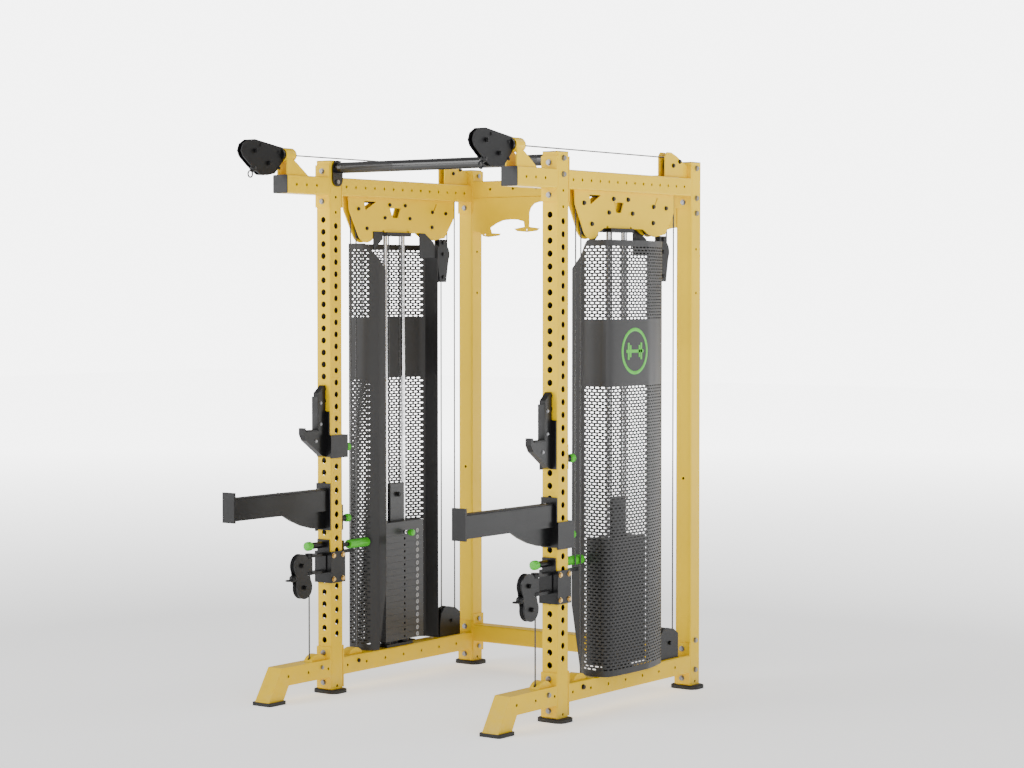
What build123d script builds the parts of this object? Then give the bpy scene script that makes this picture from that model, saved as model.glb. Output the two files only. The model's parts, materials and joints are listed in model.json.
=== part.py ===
from build123d import *
import math
import os

# Power cage with two shrouded weight stacks. Millimetres.
# +X is to the user's right when facing the rear beam, +Y runs to the rear, +Z is up.
# The origin is on the floor, in the middle of the whole footprint.
# In the helpers below, "inn" is a distance from an upright's axis towards the middle of the
# cage, and "back" is a distance behind the front uprights' axis.

os.makedirs("parts", exist_ok=True)

# ---- driving dimensions: frame ----
TUBE = 76.2
WALL = 4.0
CORNER = 6.0
HALF_TUBE = TUBE / 2
SPAN_X = 1168.4
SPAN_Y = 990.6
HALF_X = SPAN_X / 2
UPRIGHT_LOW = 16.0
UPRIGHT_TOP = 2251.2
CAP_THICK = 3.0
PAD_X = 132.0
PAD_Y = 101.0
SPOTTER_REACH = 630.0
FRONT_Y = (SPOTTER_REACH - SPAN_Y - PAD_Y / 2) / 2

HOLE_PITCH = 50.8
HOLE_R = 12.7
FRONT_HOLE_TOP = 2005.1
FRONT_HOLES = 36
SIDE_HOLE_TOP = 1979.7
SIDE_HOLES = 35
SMALL_HOLE_R = 6.0

BOLT_R = 6.0
BOLT_HOLE_R = 6.6
BOLT_GAP = 63.5
END_PLATE = 6.0
END_PLATE_HIGH = 178.0
RAIL_Z = 2146.0
BASE_Z = 110.0
TOP_BEAM_Z = 2163.6
BASE_BEAM_Z = 145.0
ARM_REACH = 305.0

# ---- driving dimensions: cables and pulleys ----
CABLE_R = 3.0
CABLE_GAP = 0.4
AXLE_R = 5.0
AXLE_BORE_R = 5.06
PULLEY_W = 14.0
RIM = 3.5
PLATE_IN = 13.0
PLATE_OUT = 19.0
BASE_AXLE_Z = 121.0
BASE_PULLEY_R = 36.0
BASE_AXLE_FRONT = -100.0
BASE_AXLE_BACK = 141.0
TOP_PULLEY = (835.5, 2233.0, 33.5)
REAR_BASE_PULLEY = (820.0, 215.0, 49.0)
ANCHOR_PULLEY = (170.0, 2057.0, 30.0)
FRONT_RAIL_PULLEY = (226.0, 1974.5, 49.0)
STACK_FRONT_PULLEY = (348.6, 2023.0, 49.0)
STACK_BACK_PULLEY = (522.0, 2023.0, 49.0)
REAR_RAIL_PULLEY = (679.0, 1988.0, 49.0)
BLOCK_RAIL_PULLEY = (778.7, 2051.7, 35.3)
FLOAT_PULLEY = (771.0, 1870.0, 43.0)
HEAD_PULLEY = (435.3, 815.0, 37.7)
ARM_PULLEY_FRONT = (-472.0, 2275.0, 38.0)
ARM_PULLEY_BACK = (-391.0, 2228.5, 38.0)
ARM_CABLE_Z = ARM_PULLEY_BACK[1] + ARM_PULLEY_BACK[2]
CARRIAGE_PULLEY_LOW = (-178.0, 464.0, 42.0)
CARRIAGE_PULLEY_HIGH = (-195.0, 558.0, 41.0)
SWIVEL_BACK = -136.0
CARRIAGE_STOP = (-238.0, 506.0, 16.0)
ARM_STOP = (-474.0, 2205.0, 15.0)
STOP_GAP = 0.6

# ---- driving dimensions: weight stack ----
STACK_Y = 435.3
PLATE_LONG = 262.0
PLATE_WIDE = 115.0
PLATE_PITCH = 28.6
PLATE_THICK = 28.0
PLATES = 17
STACK_LOW = 179.6
ROD_R = 9.5
ROD_BACKS = (374.6, 496.0)
ROD_TOP = 1958.0
STEM_R = 11.0
PIN_R = 5.0
SHROUD_LOW = 152.0
SHROUD_TOP = 1911.0
SHEET = 2.0

# ---- driving dimensions: parts hung on the front uprights ----
GAP = 0.4
JCUP_Z = FRONT_HOLE_TOP - 19 * HOLE_PITCH
SPOTTER_Z = FRONT_HOLE_TOP - 25 * HOLE_PITCH
CARRIAGE_Z = FRONT_HOLE_TOP - 27 * HOLE_PITCH
PULL_PIN_R = 7.0
PIN_HOUSING_R = 13.5
KNOB_R = 17.5
SLEEVE_IN = 40.0
SLEEVE_OUT = 46.0

SIDES = {"left": -1, "right": 1}


# ---- helpers: each one works on the sub-part that is being built ----
def across(side, inn):
    """X of a point that lies inn inside the axis of one side's uprights."""
    return side * (HALF_X - inn)


def along(back):
    """Y of a point that lies back behind the front uprights' axis."""
    return FRONT_Y + back


def block(side, inns, backs, zs, mode=Mode.ADD):
    """A box between two values of inn, back and height."""
    xs = sorted(across(side, inn) for inn in inns)
    middle = (sum(xs) / 2, along(sum(backs) / 2), sum(zs) / 2)
    with Locations(middle):
        Box(xs[1] - xs[0], backs[1] - backs[0], zs[1] - zs[0], mode=mode)


def rod(start, end, radius, mode=Mode.ADD):
    """A round bar between two points."""
    way = Vector(*end) - Vector(*start)
    with Locations(Plane(origin=start, z_dir=way)):
        Cylinder(radius, way.length, align=(Align.CENTER, Align.CENTER, Align.MIN), mode=mode)


def cross_rod(side, inns, back, z, radius, mode=Mode.ADD):
    """A round bar along X."""
    rod((across(side, inns[0]), along(back), z), (across(side, inns[1]), along(back), z), radius, mode)


def long_rod(side, inn, backs, z, radius, mode=Mode.ADD):
    """A round bar along Y."""
    rod((across(side, inn), along(backs[0]), z), (across(side, inn), along(backs[1]), z), radius, mode)


def upright_rod(side, inn, back, zs, radius, mode=Mode.ADD):
    """A round bar along Z."""
    rod((across(side, inn), along(back), zs[0]), (across(side, inn), along(back), zs[1]), radius, mode)


def side_plate(side, inns, outline, mode=Mode.ADD, rounding=0.0):
    """A flat plate whose outline is a list of (back, height), between two values of inn."""
    xs = sorted(across(side, inn) for inn in inns)
    with BuildSketch(Plane.YZ.offset(xs[0])) as face:
        with BuildLine():
            Polyline([(along(back), z) for back, z in outline], close=True)
        make_face()
        if rounding:
            fillet(face.vertices(), rounding)
    extrude(face.sketch, amount=xs[1] - xs[0], mode=mode)


def disc_plate(side, inns, back, z, radius, mode=Mode.ADD):
    """A round plate standing across X."""
    cross_rod(side, inns, back, z, radius, mode)


def pulley(side, wheel):
    """A grooved wheel on an axle along X: (back, height, radius of the cable's centre line)."""
    back, z, reach = wheel
    groove = reach - CABLE_R - CABLE_GAP
    with BuildSketch(Plane.XY) as section:
        with BuildLine():
            Polyline(
                (AXLE_BORE_R, -PULLEY_W / 2), (groove + CABLE_R + RIM, -PULLEY_W / 2),
                (groove + CABLE_R + RIM, -PULLEY_W / 2 + 2), (groove, -CABLE_R),
                (groove, CABLE_R), (groove + CABLE_R + RIM, PULLEY_W / 2 - 2),
                (groove + CABLE_R + RIM, PULLEY_W / 2), (AXLE_BORE_R, PULLEY_W / 2), close=True,
            )
        make_face()
    wheel_solid = revolve(section.sketch, axis=Axis.Y, mode=Mode.PRIVATE)
    lying = Rotation(0, 0, 90) * wheel_solid
    add(Location((across(side, 0), along(back), z)) * lying)


def hexagon_bolt(start, way, length, radius=BOLT_R, nut=True, head=10.0):
    """A bolt: washer and hexagon head before start, shank along way, nut past its end."""
    direction = Vector(*way)
    origin = Vector(*start)
    rod(tuple(origin - direction * 2), tuple(origin), head * 1.2)
    with BuildSketch(Plane(origin=tuple(origin - direction * 2), z_dir=tuple(-direction))) as hexagon:
        RegularPolygon(head, 6)
    extrude(hexagon.sketch, amount=head * 0.7)
    rod(tuple(origin - direction), tuple(origin + direction * (length + (8 if nut else 0))), radius)
    if nut:
        with BuildSketch(Plane(origin=tuple(origin + direction * length), z_dir=tuple(direction))) as hexagon:
            RegularPolygon(head, 6)
        extrude(hexagon.sketch, amount=head * 0.7)


def cable(side, route):
    """A steel cable: route is a list of (back, height, radius of the bend there)."""
    points = [(along(back), z) for back, z, _ in route]
    radii = [radius for _, _, radius in route[1:-1]]
    with BuildLine(Plane.YZ.offset(across(side, 0))) as path:
        FilletPolyline(*points, radius=radii)
    wire = path.wires()[0]
    with BuildSketch(Plane(origin=wire.position_at(0), z_dir=wire.tangent_at(0))) as section:
        Circle(CABLE_R)
    sweep(section.sketch, path=wire)


def save(piece, label):
    """Name a finished sub-part and write it."""
    piece.part.label = label
    export_step(piece.part, f"parts/{label}.step")


# ---- uprights ----
with BuildPart() as uprights:
    for side in SIDES.values():
        for back in (0, SPAN_Y):
            with BuildSketch(Plane.XY.offset(UPRIGHT_LOW)) as ring:
                with Locations((across(side, 0), along(back))):
                    RectangleRounded(TUBE, TUBE, CORNER)
                    RectangleRounded(TUBE - 2 * WALL, TUBE - 2 * WALL, CORNER - WALL / 2, mode=Mode.SUBTRACT)
            extrude(amount=UPRIGHT_TOP - UPRIGHT_LOW)
    # adjustment holes through the front uprights, front to back and side to side
    with BuildSketch(Plane.XZ.offset(-along(HALF_TUBE + 1))) as front_holes:
        for side in SIDES.values():
            with Locations([(across(side, 0), FRONT_HOLE_TOP - n * HOLE_PITCH) for n in range(FRONT_HOLES)]):
                Circle(HOLE_R)
            with Locations((across(side, 0), BASE_AXLE_Z - BASE_PULLEY_R)):
                Circle(7)
    extrude(amount=TUBE + 2, mode=Mode.SUBTRACT)
    with BuildSketch(Plane.YZ.offset(-HALF_X - HALF_TUBE - 1)) as side_holes:
        with Locations([(along(0), SIDE_HOLE_TOP - n * HOLE_PITCH) for n in range(SIDE_HOLES)]):
            Circle(HOLE_R)
        with Locations([(along(0), z) for z in (2100.3, 2036.8, 30.0)]):
            Circle(SMALL_HOLE_R)
        with Locations([(along(0), z) for z in (2227.3, 2163.8)]):
            Circle(BOLT_HOLE_R)
        with Locations([(along(SPAN_Y), z) for z in (1883.6, 1697.1, 31.0)]):
            Circle(SMALL_HOLE_R)
        with Locations([(along(SPAN_Y), z) for z in (2227.1, 2100.1, 2036.1, 208.5, 81.5)]):
            Circle(BOLT_HOLE_R)
    extrude(amount=SPAN_X + TUBE + 2, mode=Mode.SUBTRACT)
    # bolt holes for the rails, arms and legs, front to back through all four uprights
    with BuildSketch(Plane.XZ.offset(-along(SPAN_Y + HALF_TUBE + 1))) as rail_holes:
        for side in SIDES.values():
            for z in (RAIL_Z, BASE_Z):
                with Locations([(across(side, 0), z + BOLT_GAP), (across(side, 0), z - BOLT_GAP)]):
                    Circle(BOLT_HOLE_R)
    extrude(amount=SPAN_Y + TUBE + 2, mode=Mode.SUBTRACT)
    for side in SIDES.values():
        long_rod(side, 0, (SPAN_Y - HALF_TUBE - 1, SPAN_Y), 904.6, SMALL_HOLE_R, Mode.SUBTRACT)
save(uprights, "uprights")

# ---- plastic caps on the open tube ends ----
with BuildPart() as tube_caps:
    for side in SIDES.values():
        with BuildSketch(Plane.XY.offset(UPRIGHT_TOP)) as cap:
            with Locations([(across(side, 0), along(back)) for back in (0, SPAN_Y)]):
                RectangleRounded(TUBE, TUBE, CORNER)
        extrude(amount=CAP_THICK)
        with BuildSketch(Plane.XZ.offset(-along(-ARM_REACH))) as arm_cap:
            with Locations((across(side, 0), RAIL_Z)):
                RectangleRounded(TUBE, TUBE, CORNER)
        extrude(amount=5)
save(tube_caps, "tube_caps")

# ---- rubber feet ----
LEG_FOOT = (-441.0, -336.0)
with BuildPart() as foot_pads:
    for side in SIDES.values():
        with BuildSketch(Plane.XY) as pad:
            with Locations([(across(side, 0), along(back)) for back in (0, SPAN_Y)]):
                RectangleRounded(PAD_X, PAD_Y, 34)
            with Locations((across(side, 0), along(sum(LEG_FOOT) / 2))):
                RectangleRounded(PAD_X - 30, LEG_FOOT[1] - LEG_FOOT[0], 12)
        extrude(amount=UPRIGHT_LOW - 2)
        with BuildSketch(Plane.XY.offset(UPRIGHT_LOW - 2)) as lip:
            with Locations([(across(side, 0), along(back)) for back in (0, SPAN_Y)]):
                RectangleRounded(PAD_X - 8, PAD_Y - 8, 30)
        extrude(amount=2)
save(foot_pads, "foot_pads")


def end_plate(side, backs, z):
    """Bolting plate across the end of a rail, with its two bolt holes."""
    block(side, (-HALF_TUBE, HALF_TUBE), backs, (z - END_PLATE_HIGH / 2, z + END_PLATE_HIGH / 2))
    for hole_z in (z - BOLT_GAP, z + BOLT_GAP):
        long_rod(side, 0, (backs[0] - 1, backs[1] + 1), hole_z, BOLT_HOLE_R, Mode.SUBTRACT)


def long_tube(side, backs, z):
    """Square tube along Y, with rounded corners."""
    with BuildSketch(Plane.XZ.offset(-along(backs[1]))) as ring:
        with Locations((across(side, 0), z)):
            RectangleRounded(TUBE, TUBE, CORNER)
            RectangleRounded(TUBE - 2 * WALL, TUBE - 2 * WALL, CORNER - WALL / 2, mode=Mode.SUBTRACT)
    extrude(ring.sketch, amount=backs[1] - backs[0])


RAIL_START = HALF_TUBE + END_PLATE
RAIL_END = SPAN_Y - RAIL_START

# ---- top side rails ----
with BuildPart() as top_side_rails:
    for side in SIDES.values():
        long_tube(side, (RAIL_START, RAIL_END), RAIL_Z)
        for n in range(14):
            cross_rod(side, (-50, 50), 69.85 + 63.5 * n, RAIL_Z, SMALL_HOLE_R, Mode.SUBTRACT)
        upright_rod(side, 0, TOP_PULLEY[0] + TOP_PULLEY[2], (RAIL_Z - 50, RAIL_Z + 50), 9, Mode.SUBTRACT)
        end_plate(side, (HALF_TUBE, RAIL_START), RAIL_Z)
        end_plate(side, (RAIL_END, RAIL_END + END_PLATE), RAIL_Z)
save(top_side_rails, "top_side_rails")

# ---- top arms, each with a bearing barrel for its swivel ----
BARREL_Z = 2267.0
BARREL_R = 28.5
BARREL_BORE_R = 20.0
BARREL = (-298.0, -240.0)
with BuildPart() as top_arms:
    for side in SIDES.values():
        long_tube(side, (-ARM_REACH, -RAIL_START), RAIL_Z)
        for back in (-120.65, -184.15, -247.65):
            cross_rod(side, (-50, 50), back, RAIL_Z, SMALL_HOLE_R, Mode.SUBTRACT)
        end_plate(side, (-RAIL_START, -HALF_TUBE), RAIL_Z)
        for inns in ((BARREL_R - 6, BARREL_R), (-BARREL_R, -BARREL_R + 6)):
            side_plate(side, inns, [(-296, 2184.1), (-296, 2267), (-243, 2240), (-164, 2184.1)])
        long_rod(side, 0, BARREL, BARREL_Z, BARREL_R)
        long_rod(side, 0, (BARREL[0] - 1, BARREL[1] + 1), BARREL_Z, BARREL_BORE_R, Mode.SUBTRACT)
save(top_arms, "top_arms")

# ---- base side rails, slotted over the rear base pulley of each cable ----
CABLE_LOW = BASE_AXLE_Z - BASE_PULLEY_R
with BuildPart() as base_side_rails:
    for side in SIDES.values():
        long_tube(side, (RAIL_START, RAIL_END), BASE_Z)
        for n in range(7):
            cross_rod(side, (-50, 50), 69.85 + 127 * n, BASE_Z, SMALL_HOLE_R, Mode.SUBTRACT)
        block(side, (-10, 10), (BASE_AXLE_BACK - 46, BASE_AXLE_BACK + 46), (BASE_Z, 160), Mode.SUBTRACT)
        cross_rod(side, (-50, 50), BASE_AXLE_BACK, BASE_AXLE_Z, AXLE_R + 0.3, Mode.SUBTRACT)
        end_plate(side, (HALF_TUBE, RAIL_START), BASE_Z)
        end_plate(side, (RAIL_END, RAIL_END + END_PLATE), BASE_Z)
        long_rod(side, 0, (HALF_TUBE - 1, RAIL_START + 1), CABLE_LOW, 7, Mode.SUBTRACT)
save(base_side_rails, "base_side_rails")

# ---- front legs ----
LEG_OUTLINE = [
    (-RAIL_START, 71.9), (-309, 71.9), (-342, 14), (-434, 14), (-351, 148.1), (-RAIL_START, 148.1),
]
LEG_HOLLOW = [
    (-RAIL_START + 1, 75.9), (-311.3, 75.9), (-344.3, 18), (-427, 18), (-348.8, 144.1), (-RAIL_START + 1, 144.1),
]
with BuildPart() as front_legs:
    for side in SIDES.values():
        side_plate(side, (-HALF_TUBE, HALF_TUBE), LEG_OUTLINE)
        side_plate(side, (-HALF_TUBE + WALL, HALF_TUBE - WALL), LEG_HOLLOW, Mode.SUBTRACT)
        for back in (-57.15, -184.15, -311.15):
            cross_rod(side, (-50, 50), back, BASE_Z, SMALL_HOLE_R, Mode.SUBTRACT)
        block(side, (-10, 10), (BASE_AXLE_FRONT - 46, BASE_AXLE_FRONT + 46), (BASE_Z, 160), Mode.SUBTRACT)
        cross_rod(side, (-50, 50), BASE_AXLE_FRONT, BASE_AXLE_Z, AXLE_R + 0.3, Mode.SUBTRACT)
        end_plate(side, (-RAIL_START, -HALF_TUBE), BASE_Z)
        long_rod(side, 0, (-RAIL_START - 1, -HALF_TUBE + 1), CABLE_LOW, 7, Mode.SUBTRACT)
save(front_legs, "front_legs")

# ---- rounded guards over the base pulleys ----
with BuildPart() as base_pulley_guards:
    for side in SIDES.values():
        for back, cable_back in ((BASE_AXLE_FRONT, SWIVEL_BACK), (BASE_AXLE_BACK, BASE_AXLE_BACK + BASE_PULLEY_R)):
            disc_plate(side, (-22, 22), back, BASE_AXLE_Z, 54)
            disc_plate(side, (-17, 17), back, BASE_AXLE_Z, 49, Mode.SUBTRACT)
            block(side, (-30, 30), (back - 60, back + 60), (40, 148.1), Mode.SUBTRACT)
            upright_rod(side, 0, cable_back, (120, 190), 7, Mode.SUBTRACT)
save(base_pulley_guards, "base_pulley_guards")

# ---- rear beams ----
BEAM_END = HALF_X - HALF_TUBE - END_PLATE
with BuildPart() as rear_beams:
    for z, holes in ((TOP_BEAM_Z, 8), (BASE_BEAM_Z, 0)):
        with BuildSketch(Plane.YZ.offset(-BEAM_END)) as ring:
            with Locations((along(SPAN_Y), z)):
                RectangleRounded(TUBE, TUBE, CORNER)
                RectangleRounded(TUBE - 2 * WALL, TUBE - 2 * WALL, CORNER - WALL / 2, mode=Mode.SUBTRACT)
        extrude(ring.sketch, amount=2 * BEAM_END)
        for n in range(holes):
            hole_x = (n - (holes - 1) / 2) * 127
            rod((hole_x, along(SPAN_Y - 50), z), (hole_x, along(SPAN_Y + 50), z), SMALL_HOLE_R, Mode.SUBTRACT)
        for side in SIDES.values():
            plate = (HALF_TUBE, HALF_TUBE + END_PLATE)
            block(side, plate, (SPAN_Y - HALF_TUBE, SPAN_Y + HALF_TUBE), (z - 85, z + 85))
            for hole_z in (z - BOLT_GAP, z + BOLT_GAP):
                cross_rod(side, (plate[0] - 1, plate[1] + 1), SPAN_Y, hole_z, BOLT_HOLE_R, Mode.SUBTRACT)
save(rear_beams, "rear_beams")

# ---- pull-up bar with its two flanges ----
BAR_BACK = 5.0
BAR_Z = 2223.0
BAR_R = 23.0
FLANGE = 8.0
FLANGE_HALF = 32.0
with BuildPart() as pull_up_bar:
    for side in SIDES.values():
        inns = (HALF_TUBE, HALF_TUBE + FLANGE)
        disc_plate(side, inns, BAR_BACK, 2255 - FLANGE_HALF, FLANGE_HALF)
        disc_plate(side, inns, BAR_BACK, 2145 + FLANGE_HALF, FLANGE_HALF)
        block(side, inns, (BAR_BACK - FLANGE_HALF, BAR_BACK + FLANGE_HALF), (2145 + FLANGE_HALF, 2255 - FLANGE_HALF))
    bar_end = HALF_X - HALF_TUBE - FLANGE
    rod((-bar_end, along(BAR_BACK), BAR_Z), (bar_end, along(BAR_BACK), BAR_Z), BAR_R)
    rod((-bar_end, along(BAR_BACK), BAR_Z), (bar_end, along(BAR_BACK), BAR_Z), BAR_R - 3, Mode.SUBTRACT)
    for side in SIDES.values():
        for hole_z in (2227.3, 2163.8):
            cross_rod(side, (HALF_TUBE - 1, HALF_TUBE + FLANGE + 1), 0, hole_z, BOLT_HOLE_R, Mode.SUBTRACT)
save(pull_up_bar, "pull_up_bar")

# ---- hanger plates below the top rear beam ----
HANGER = [
    (HALF_TUBE + 6.2, 2125.4), (440, 2125.4), (431, 2102.5), (404, 2100.5), (381, 2093.4), (363, 2075.6),
    (355, 2053.5), (354, 1992), (412, 1984), (396, 1973), (342, 1968.6), (290, 1973), (274, 1984),
    (331, 1992), (326, 2016), (294, 2024), (258, 2026), (212, 2022.6), (174, 2010), (138.3, 1990),
    (146.7, 1966.5), (196.6, 1963.5), (188.2, 1954.2), (127.6, 1948.3), (99.9, 1953.6), (86, 1968),
    (60, 1974), (HALF_TUBE, 1975), (HALF_TUBE, 2078), (HALF_TUBE + 6.2, 2078),
]
HANGER_BACK = SPAN_Y - HALF_TUBE
with BuildPart() as hanger_plates:
    for side in SIDES.values():
        with BuildSketch(Plane.XZ.offset(-along(HANGER_BACK + 6))) as plate_face:
            with BuildLine():
                Polyline([(across(side, inn), z) for inn, z in HANGER], close=True)
            make_face()
        extrude(plate_face.sketch, amount=6)
        block(side, (60, 440), (HANGER_BACK, SPAN_Y + 20), (2119.4, 2125.4))
        block(side, (HALF_TUBE, HALF_TUBE + END_PLATE), (HANGER_BACK, SPAN_Y + 20), (1975, 2072))
        cross_rod(side, (HALF_TUBE - 1, HALF_TUBE + END_PLATE + 1), SPAN_Y, 2036.1, BOLT_HOLE_R, Mode.SUBTRACT)
        long_rod(side, 342.4, (HANGER_BACK - 1, HANGER_BACK + 7), 1979, 4, Mode.SUBTRACT)
        long_rod(side, 110, (HANGER_BACK - 1, HANGER_BACK + 7), 1960, 4, Mode.SUBTRACT)
save(hanger_plates, "hanger_plates")

# ---- plates that carry the pulleys under the top rails ----
RAIL_LOW = RAIL_Z - HALF_TUBE
PULLEY_PLATE = [
    (107, RAIL_LOW), (113, 2050), (172, 1947), (266, 1937), (316, 1960), (606, 1960), (640, 1942),
    (690, 1930), (774, 1942), (828, 2013), (841, 2033), (841, RAIL_LOW),
]
SPACERS = [(382, 2079), (489, 2079), (681.7, 2055)]
RAIL_WHEELS = [
    ANCHOR_PULLEY, FRONT_RAIL_PULLEY, STACK_FRONT_PULLEY, STACK_BACK_PULLEY, REAR_RAIL_PULLEY, BLOCK_RAIL_PULLEY,
]
with BuildPart() as rail_pulley_plates:
    for side in SIDES.values():
        for inns in ((PLATE_IN, PLATE_OUT), (-PLATE_OUT, -PLATE_IN)):
            side_plate(side, inns, PULLEY_PLATE)
            disc_plate(side, inns, FRONT_RAIL_PULLEY[0], FRONT_RAIL_PULLEY[1], 61)
            side_plate(side, inns, [(210, 2091), (292, 2090.5), (218.5, 2052)], Mode.SUBTRACT)
            side_plate(side, inns, [(385, 2066), (460, 2066), (442, 2024), (404, 2024)], Mode.SUBTRACT)
            side_plate(side, inns, [(709, 2092), (716, 2092), (690, 2048), (684, 2050)], Mode.SUBTRACT)
            for back in (341, 511):
                disc_plate(side, inns, back, 1960, 9, Mode.SUBTRACT)
        for back, z in [wheel[:2] for wheel in RAIL_WHEELS] + SPACERS:
            cross_rod(side, (-PLATE_OUT - 1, PLATE_OUT + 1), back, z, AXLE_R + 0.3, Mode.SUBTRACT)
save(rail_pulley_plates, "rail_pulley_plates")

# ---- brackets on top of the rails for the upper cables ----
RAIL_TOP = RAIL_Z + HALF_TUBE
REAR_BRACKET = [
    (775.6, RAIL_TOP), (775.6, 2270), (790.6, 2288), (820.6, 2288), (862.6, 2274), (904.6, 2254),
    (946, 2237), (946, RAIL_TOP),
]
REAR_BRACKET_BOLT = (885.6, 2252)
with BuildPart() as rear_pulley_brackets:
    for side in SIDES.values():
        for inns in ((PLATE_IN, PLATE_OUT), (-PLATE_OUT, -PLATE_IN)):
            side_plate(side, inns, REAR_BRACKET)
        for back, z in (TOP_PULLEY[:2], REAR_BRACKET_BOLT):
            cross_rod(side, (-PLATE_OUT - 1, PLATE_OUT + 1), back, z, AXLE_R + 0.3, Mode.SUBTRACT)
save(rear_pulley_brackets, "rear_pulley_brackets")

# ---- brackets on the base rails for the upper cables' turn ----
BASE_BRACKET = [
    (736, 148.1), (736, 205), (745, 250), (765, 274), (800, 282), (850, 272), (885, 250), (885, 148.1),
]
with BuildPart() as rear_base_brackets:
    for side in SIDES.values():
        for inns in ((PLATE_IN, PLATE_OUT), (-PLATE_OUT, -PLATE_IN)):
            side_plate(side, inns, BASE_BRACKET)
        block(side, (-PLATE_OUT, PLATE_OUT), (736, 885), (148.1, 154))
        back, z, _ = REAR_BASE_PULLEY
        cross_rod(side, (-PLATE_OUT - 1, PLATE_OUT + 1), back, z, AXLE_R + 0.3, Mode.SUBTRACT)
save(rear_base_brackets, "rear_base_brackets")

# ---- bolts of the frame and the axles of the fixed pulleys ----
with BuildPart() as frame_bolts:
    for side in SIDES.values():
        inward = (-side, 0, 0)
        outer = across(side, -HALF_TUBE)
        for z in (RAIL_Z - BOLT_GAP, RAIL_Z + BOLT_GAP, BASE_Z - BOLT_GAP, BASE_Z + BOLT_GAP):
            hexagon_bolt((across(side, 0), along(-RAIL_START), z), (0, 1, 0), 2 * RAIL_START)
            hexagon_bolt((across(side, 0), along(RAIL_END), z), (0, 1, 0), TUBE + END_PLATE)
        hexagon_bolt((outer, along(0), 2227.3), inward, TUBE + FLANGE, nut=False)
        hexagon_bolt((outer, along(0), 2163.8), inward, TUBE + FLANGE)
        for z in (2227.1, 2100.1, 2036.1, BASE_BEAM_Z + BOLT_GAP, BASE_BEAM_Z - BOLT_GAP):
            hexagon_bolt((outer, along(SPAN_Y), z), inward, TUBE + END_PLATE, nut=z != 2100.1)
        plate_points = [wheel[:2] for wheel in RAIL_WHEELS] + SPACERS + [REAR_BRACKET_BOLT]
        for back, z in plate_points + [TOP_PULLEY[:2], REAR_BASE_PULLEY[:2]]:
            start = (across(side, -PLATE_OUT), along(back), z)
            hexagon_bolt(start, inward, 2 * PLATE_OUT, AXLE_R, head=8.0)
        for back in (BASE_AXLE_FRONT, BASE_AXLE_BACK):
            start = (across(side, -HALF_TUBE), along(back), BASE_AXLE_Z)
            hexagon_bolt(start, inward, TUBE, AXLE_R, head=9.0)
save(frame_bolts, "frame_bolts")

# ---- pulleys hidden between the rail plates and inside the base ----
BASE_WHEELS = [
    (BASE_AXLE_FRONT, BASE_AXLE_Z, BASE_PULLEY_R), (BASE_AXLE_BACK, BASE_AXLE_Z, BASE_PULLEY_R), REAR_BASE_PULLEY,
]
with BuildPart() as enclosed_pulleys:
    for side in SIDES.values():
        for wheel in RAIL_WHEELS + BASE_WHEELS:
            pulley(side, wheel)
save(enclosed_pulleys, "enclosed_pulleys")

# ---- guide rods ----
ROD_FOOT = 148.1
ROD_HOLDER = (1944.0, 1960.0)
with BuildPart() as guide_rods:
    for side in SIDES.values():
        for back in ROD_BACKS:
            upright_rod(side, 0, back, (ROD_FOOT, ROD_TOP), ROD_R)
save(guide_rods, "guide_rods")

# ---- foot blocks, rubber bumpers and the rods' top holders ----
with BuildPart() as stack_feet:
    for side in SIDES.values():
        block(side, (-30, 30), (ROD_BACKS[0] - 30, ROD_BACKS[1] + 30), (148.1, 160))
        for back in ROD_BACKS:
            upright_rod(side, 0, back, (160, STACK_LOW - 0.2), 24)
            upright_rod(side, 0, back, (148, STACK_LOW), ROD_R + 0.1, Mode.SUBTRACT)
        block(side, (-30, 30), (ROD_BACKS[0] - 24, ROD_BACKS[1] + 24), ROD_HOLDER)
        for back in ROD_BACKS:
            upright_rod(side, 0, back, (1940, 1962), ROD_R + 0.1, Mode.SUBTRACT)
        for back in (STACK_FRONT_PULLEY[0] + STACK_FRONT_PULLEY[2], STACK_BACK_PULLEY[0] - STACK_BACK_PULLEY[2]):
            upright_rod(side, 0, back, (1940, 1962), 6, Mode.SUBTRACT)
save(stack_feet, "stack_feet")


def weight_plate(side, low):
    """One weight plate, with its rod holes, stem hole and selector hole."""
    high = low + PLATE_THICK
    block(side, (-PLATE_WIDE / 2, PLATE_WIDE / 2), (STACK_Y - PLATE_LONG / 2, STACK_Y + PLATE_LONG / 2), (low, high))


def stack_bores(side, low, high):
    """Rod holes and the stem hole through everything between two heights."""
    for back in ROD_BACKS:
        upright_rod(side, 0, back, (low, high), ROD_R + 1, Mode.SUBTRACT)
    upright_rod(side, 0, STACK_Y, (low, high), STEM_R + 1.5, Mode.SUBTRACT)


# ---- weight plates that stay down ----
with BuildPart() as weight_plates:
    for side in SIDES.values():
        for n in range(PLATES - 1):
            low = STACK_LOW + n * PLATE_PITCH
            weight_plate(side, low)
        stack_bores(side, STACK_LOW - 1, STACK_LOW + PLATES * PLATE_PITCH)
        for n in range(PLATES - 1):
            middle = STACK_LOW + n * PLATE_PITCH + PLATE_THICK / 2
            cross_rod(side, (PLATE_WIDE / 2 + 1, 0), STACK_Y, middle, PIN_R + 0.5, Mode.SUBTRACT)
save(weight_plates, "weight_plates")

# ---- shrouds: folded sheet, open towards the middle of the cage ----
SHROUD_PLAN = [
    (98, 258), (56, 262), (28, 241), (0, 228), (-38, 224), (-86, 226), (-98, 250), (-103, 300), (-105, 345),
    (-106, 403), (-106, 475), (-106, 512), (-90, 590), (-64, 680), (-40, 708), (0, 711), (30, 708),
]


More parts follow.
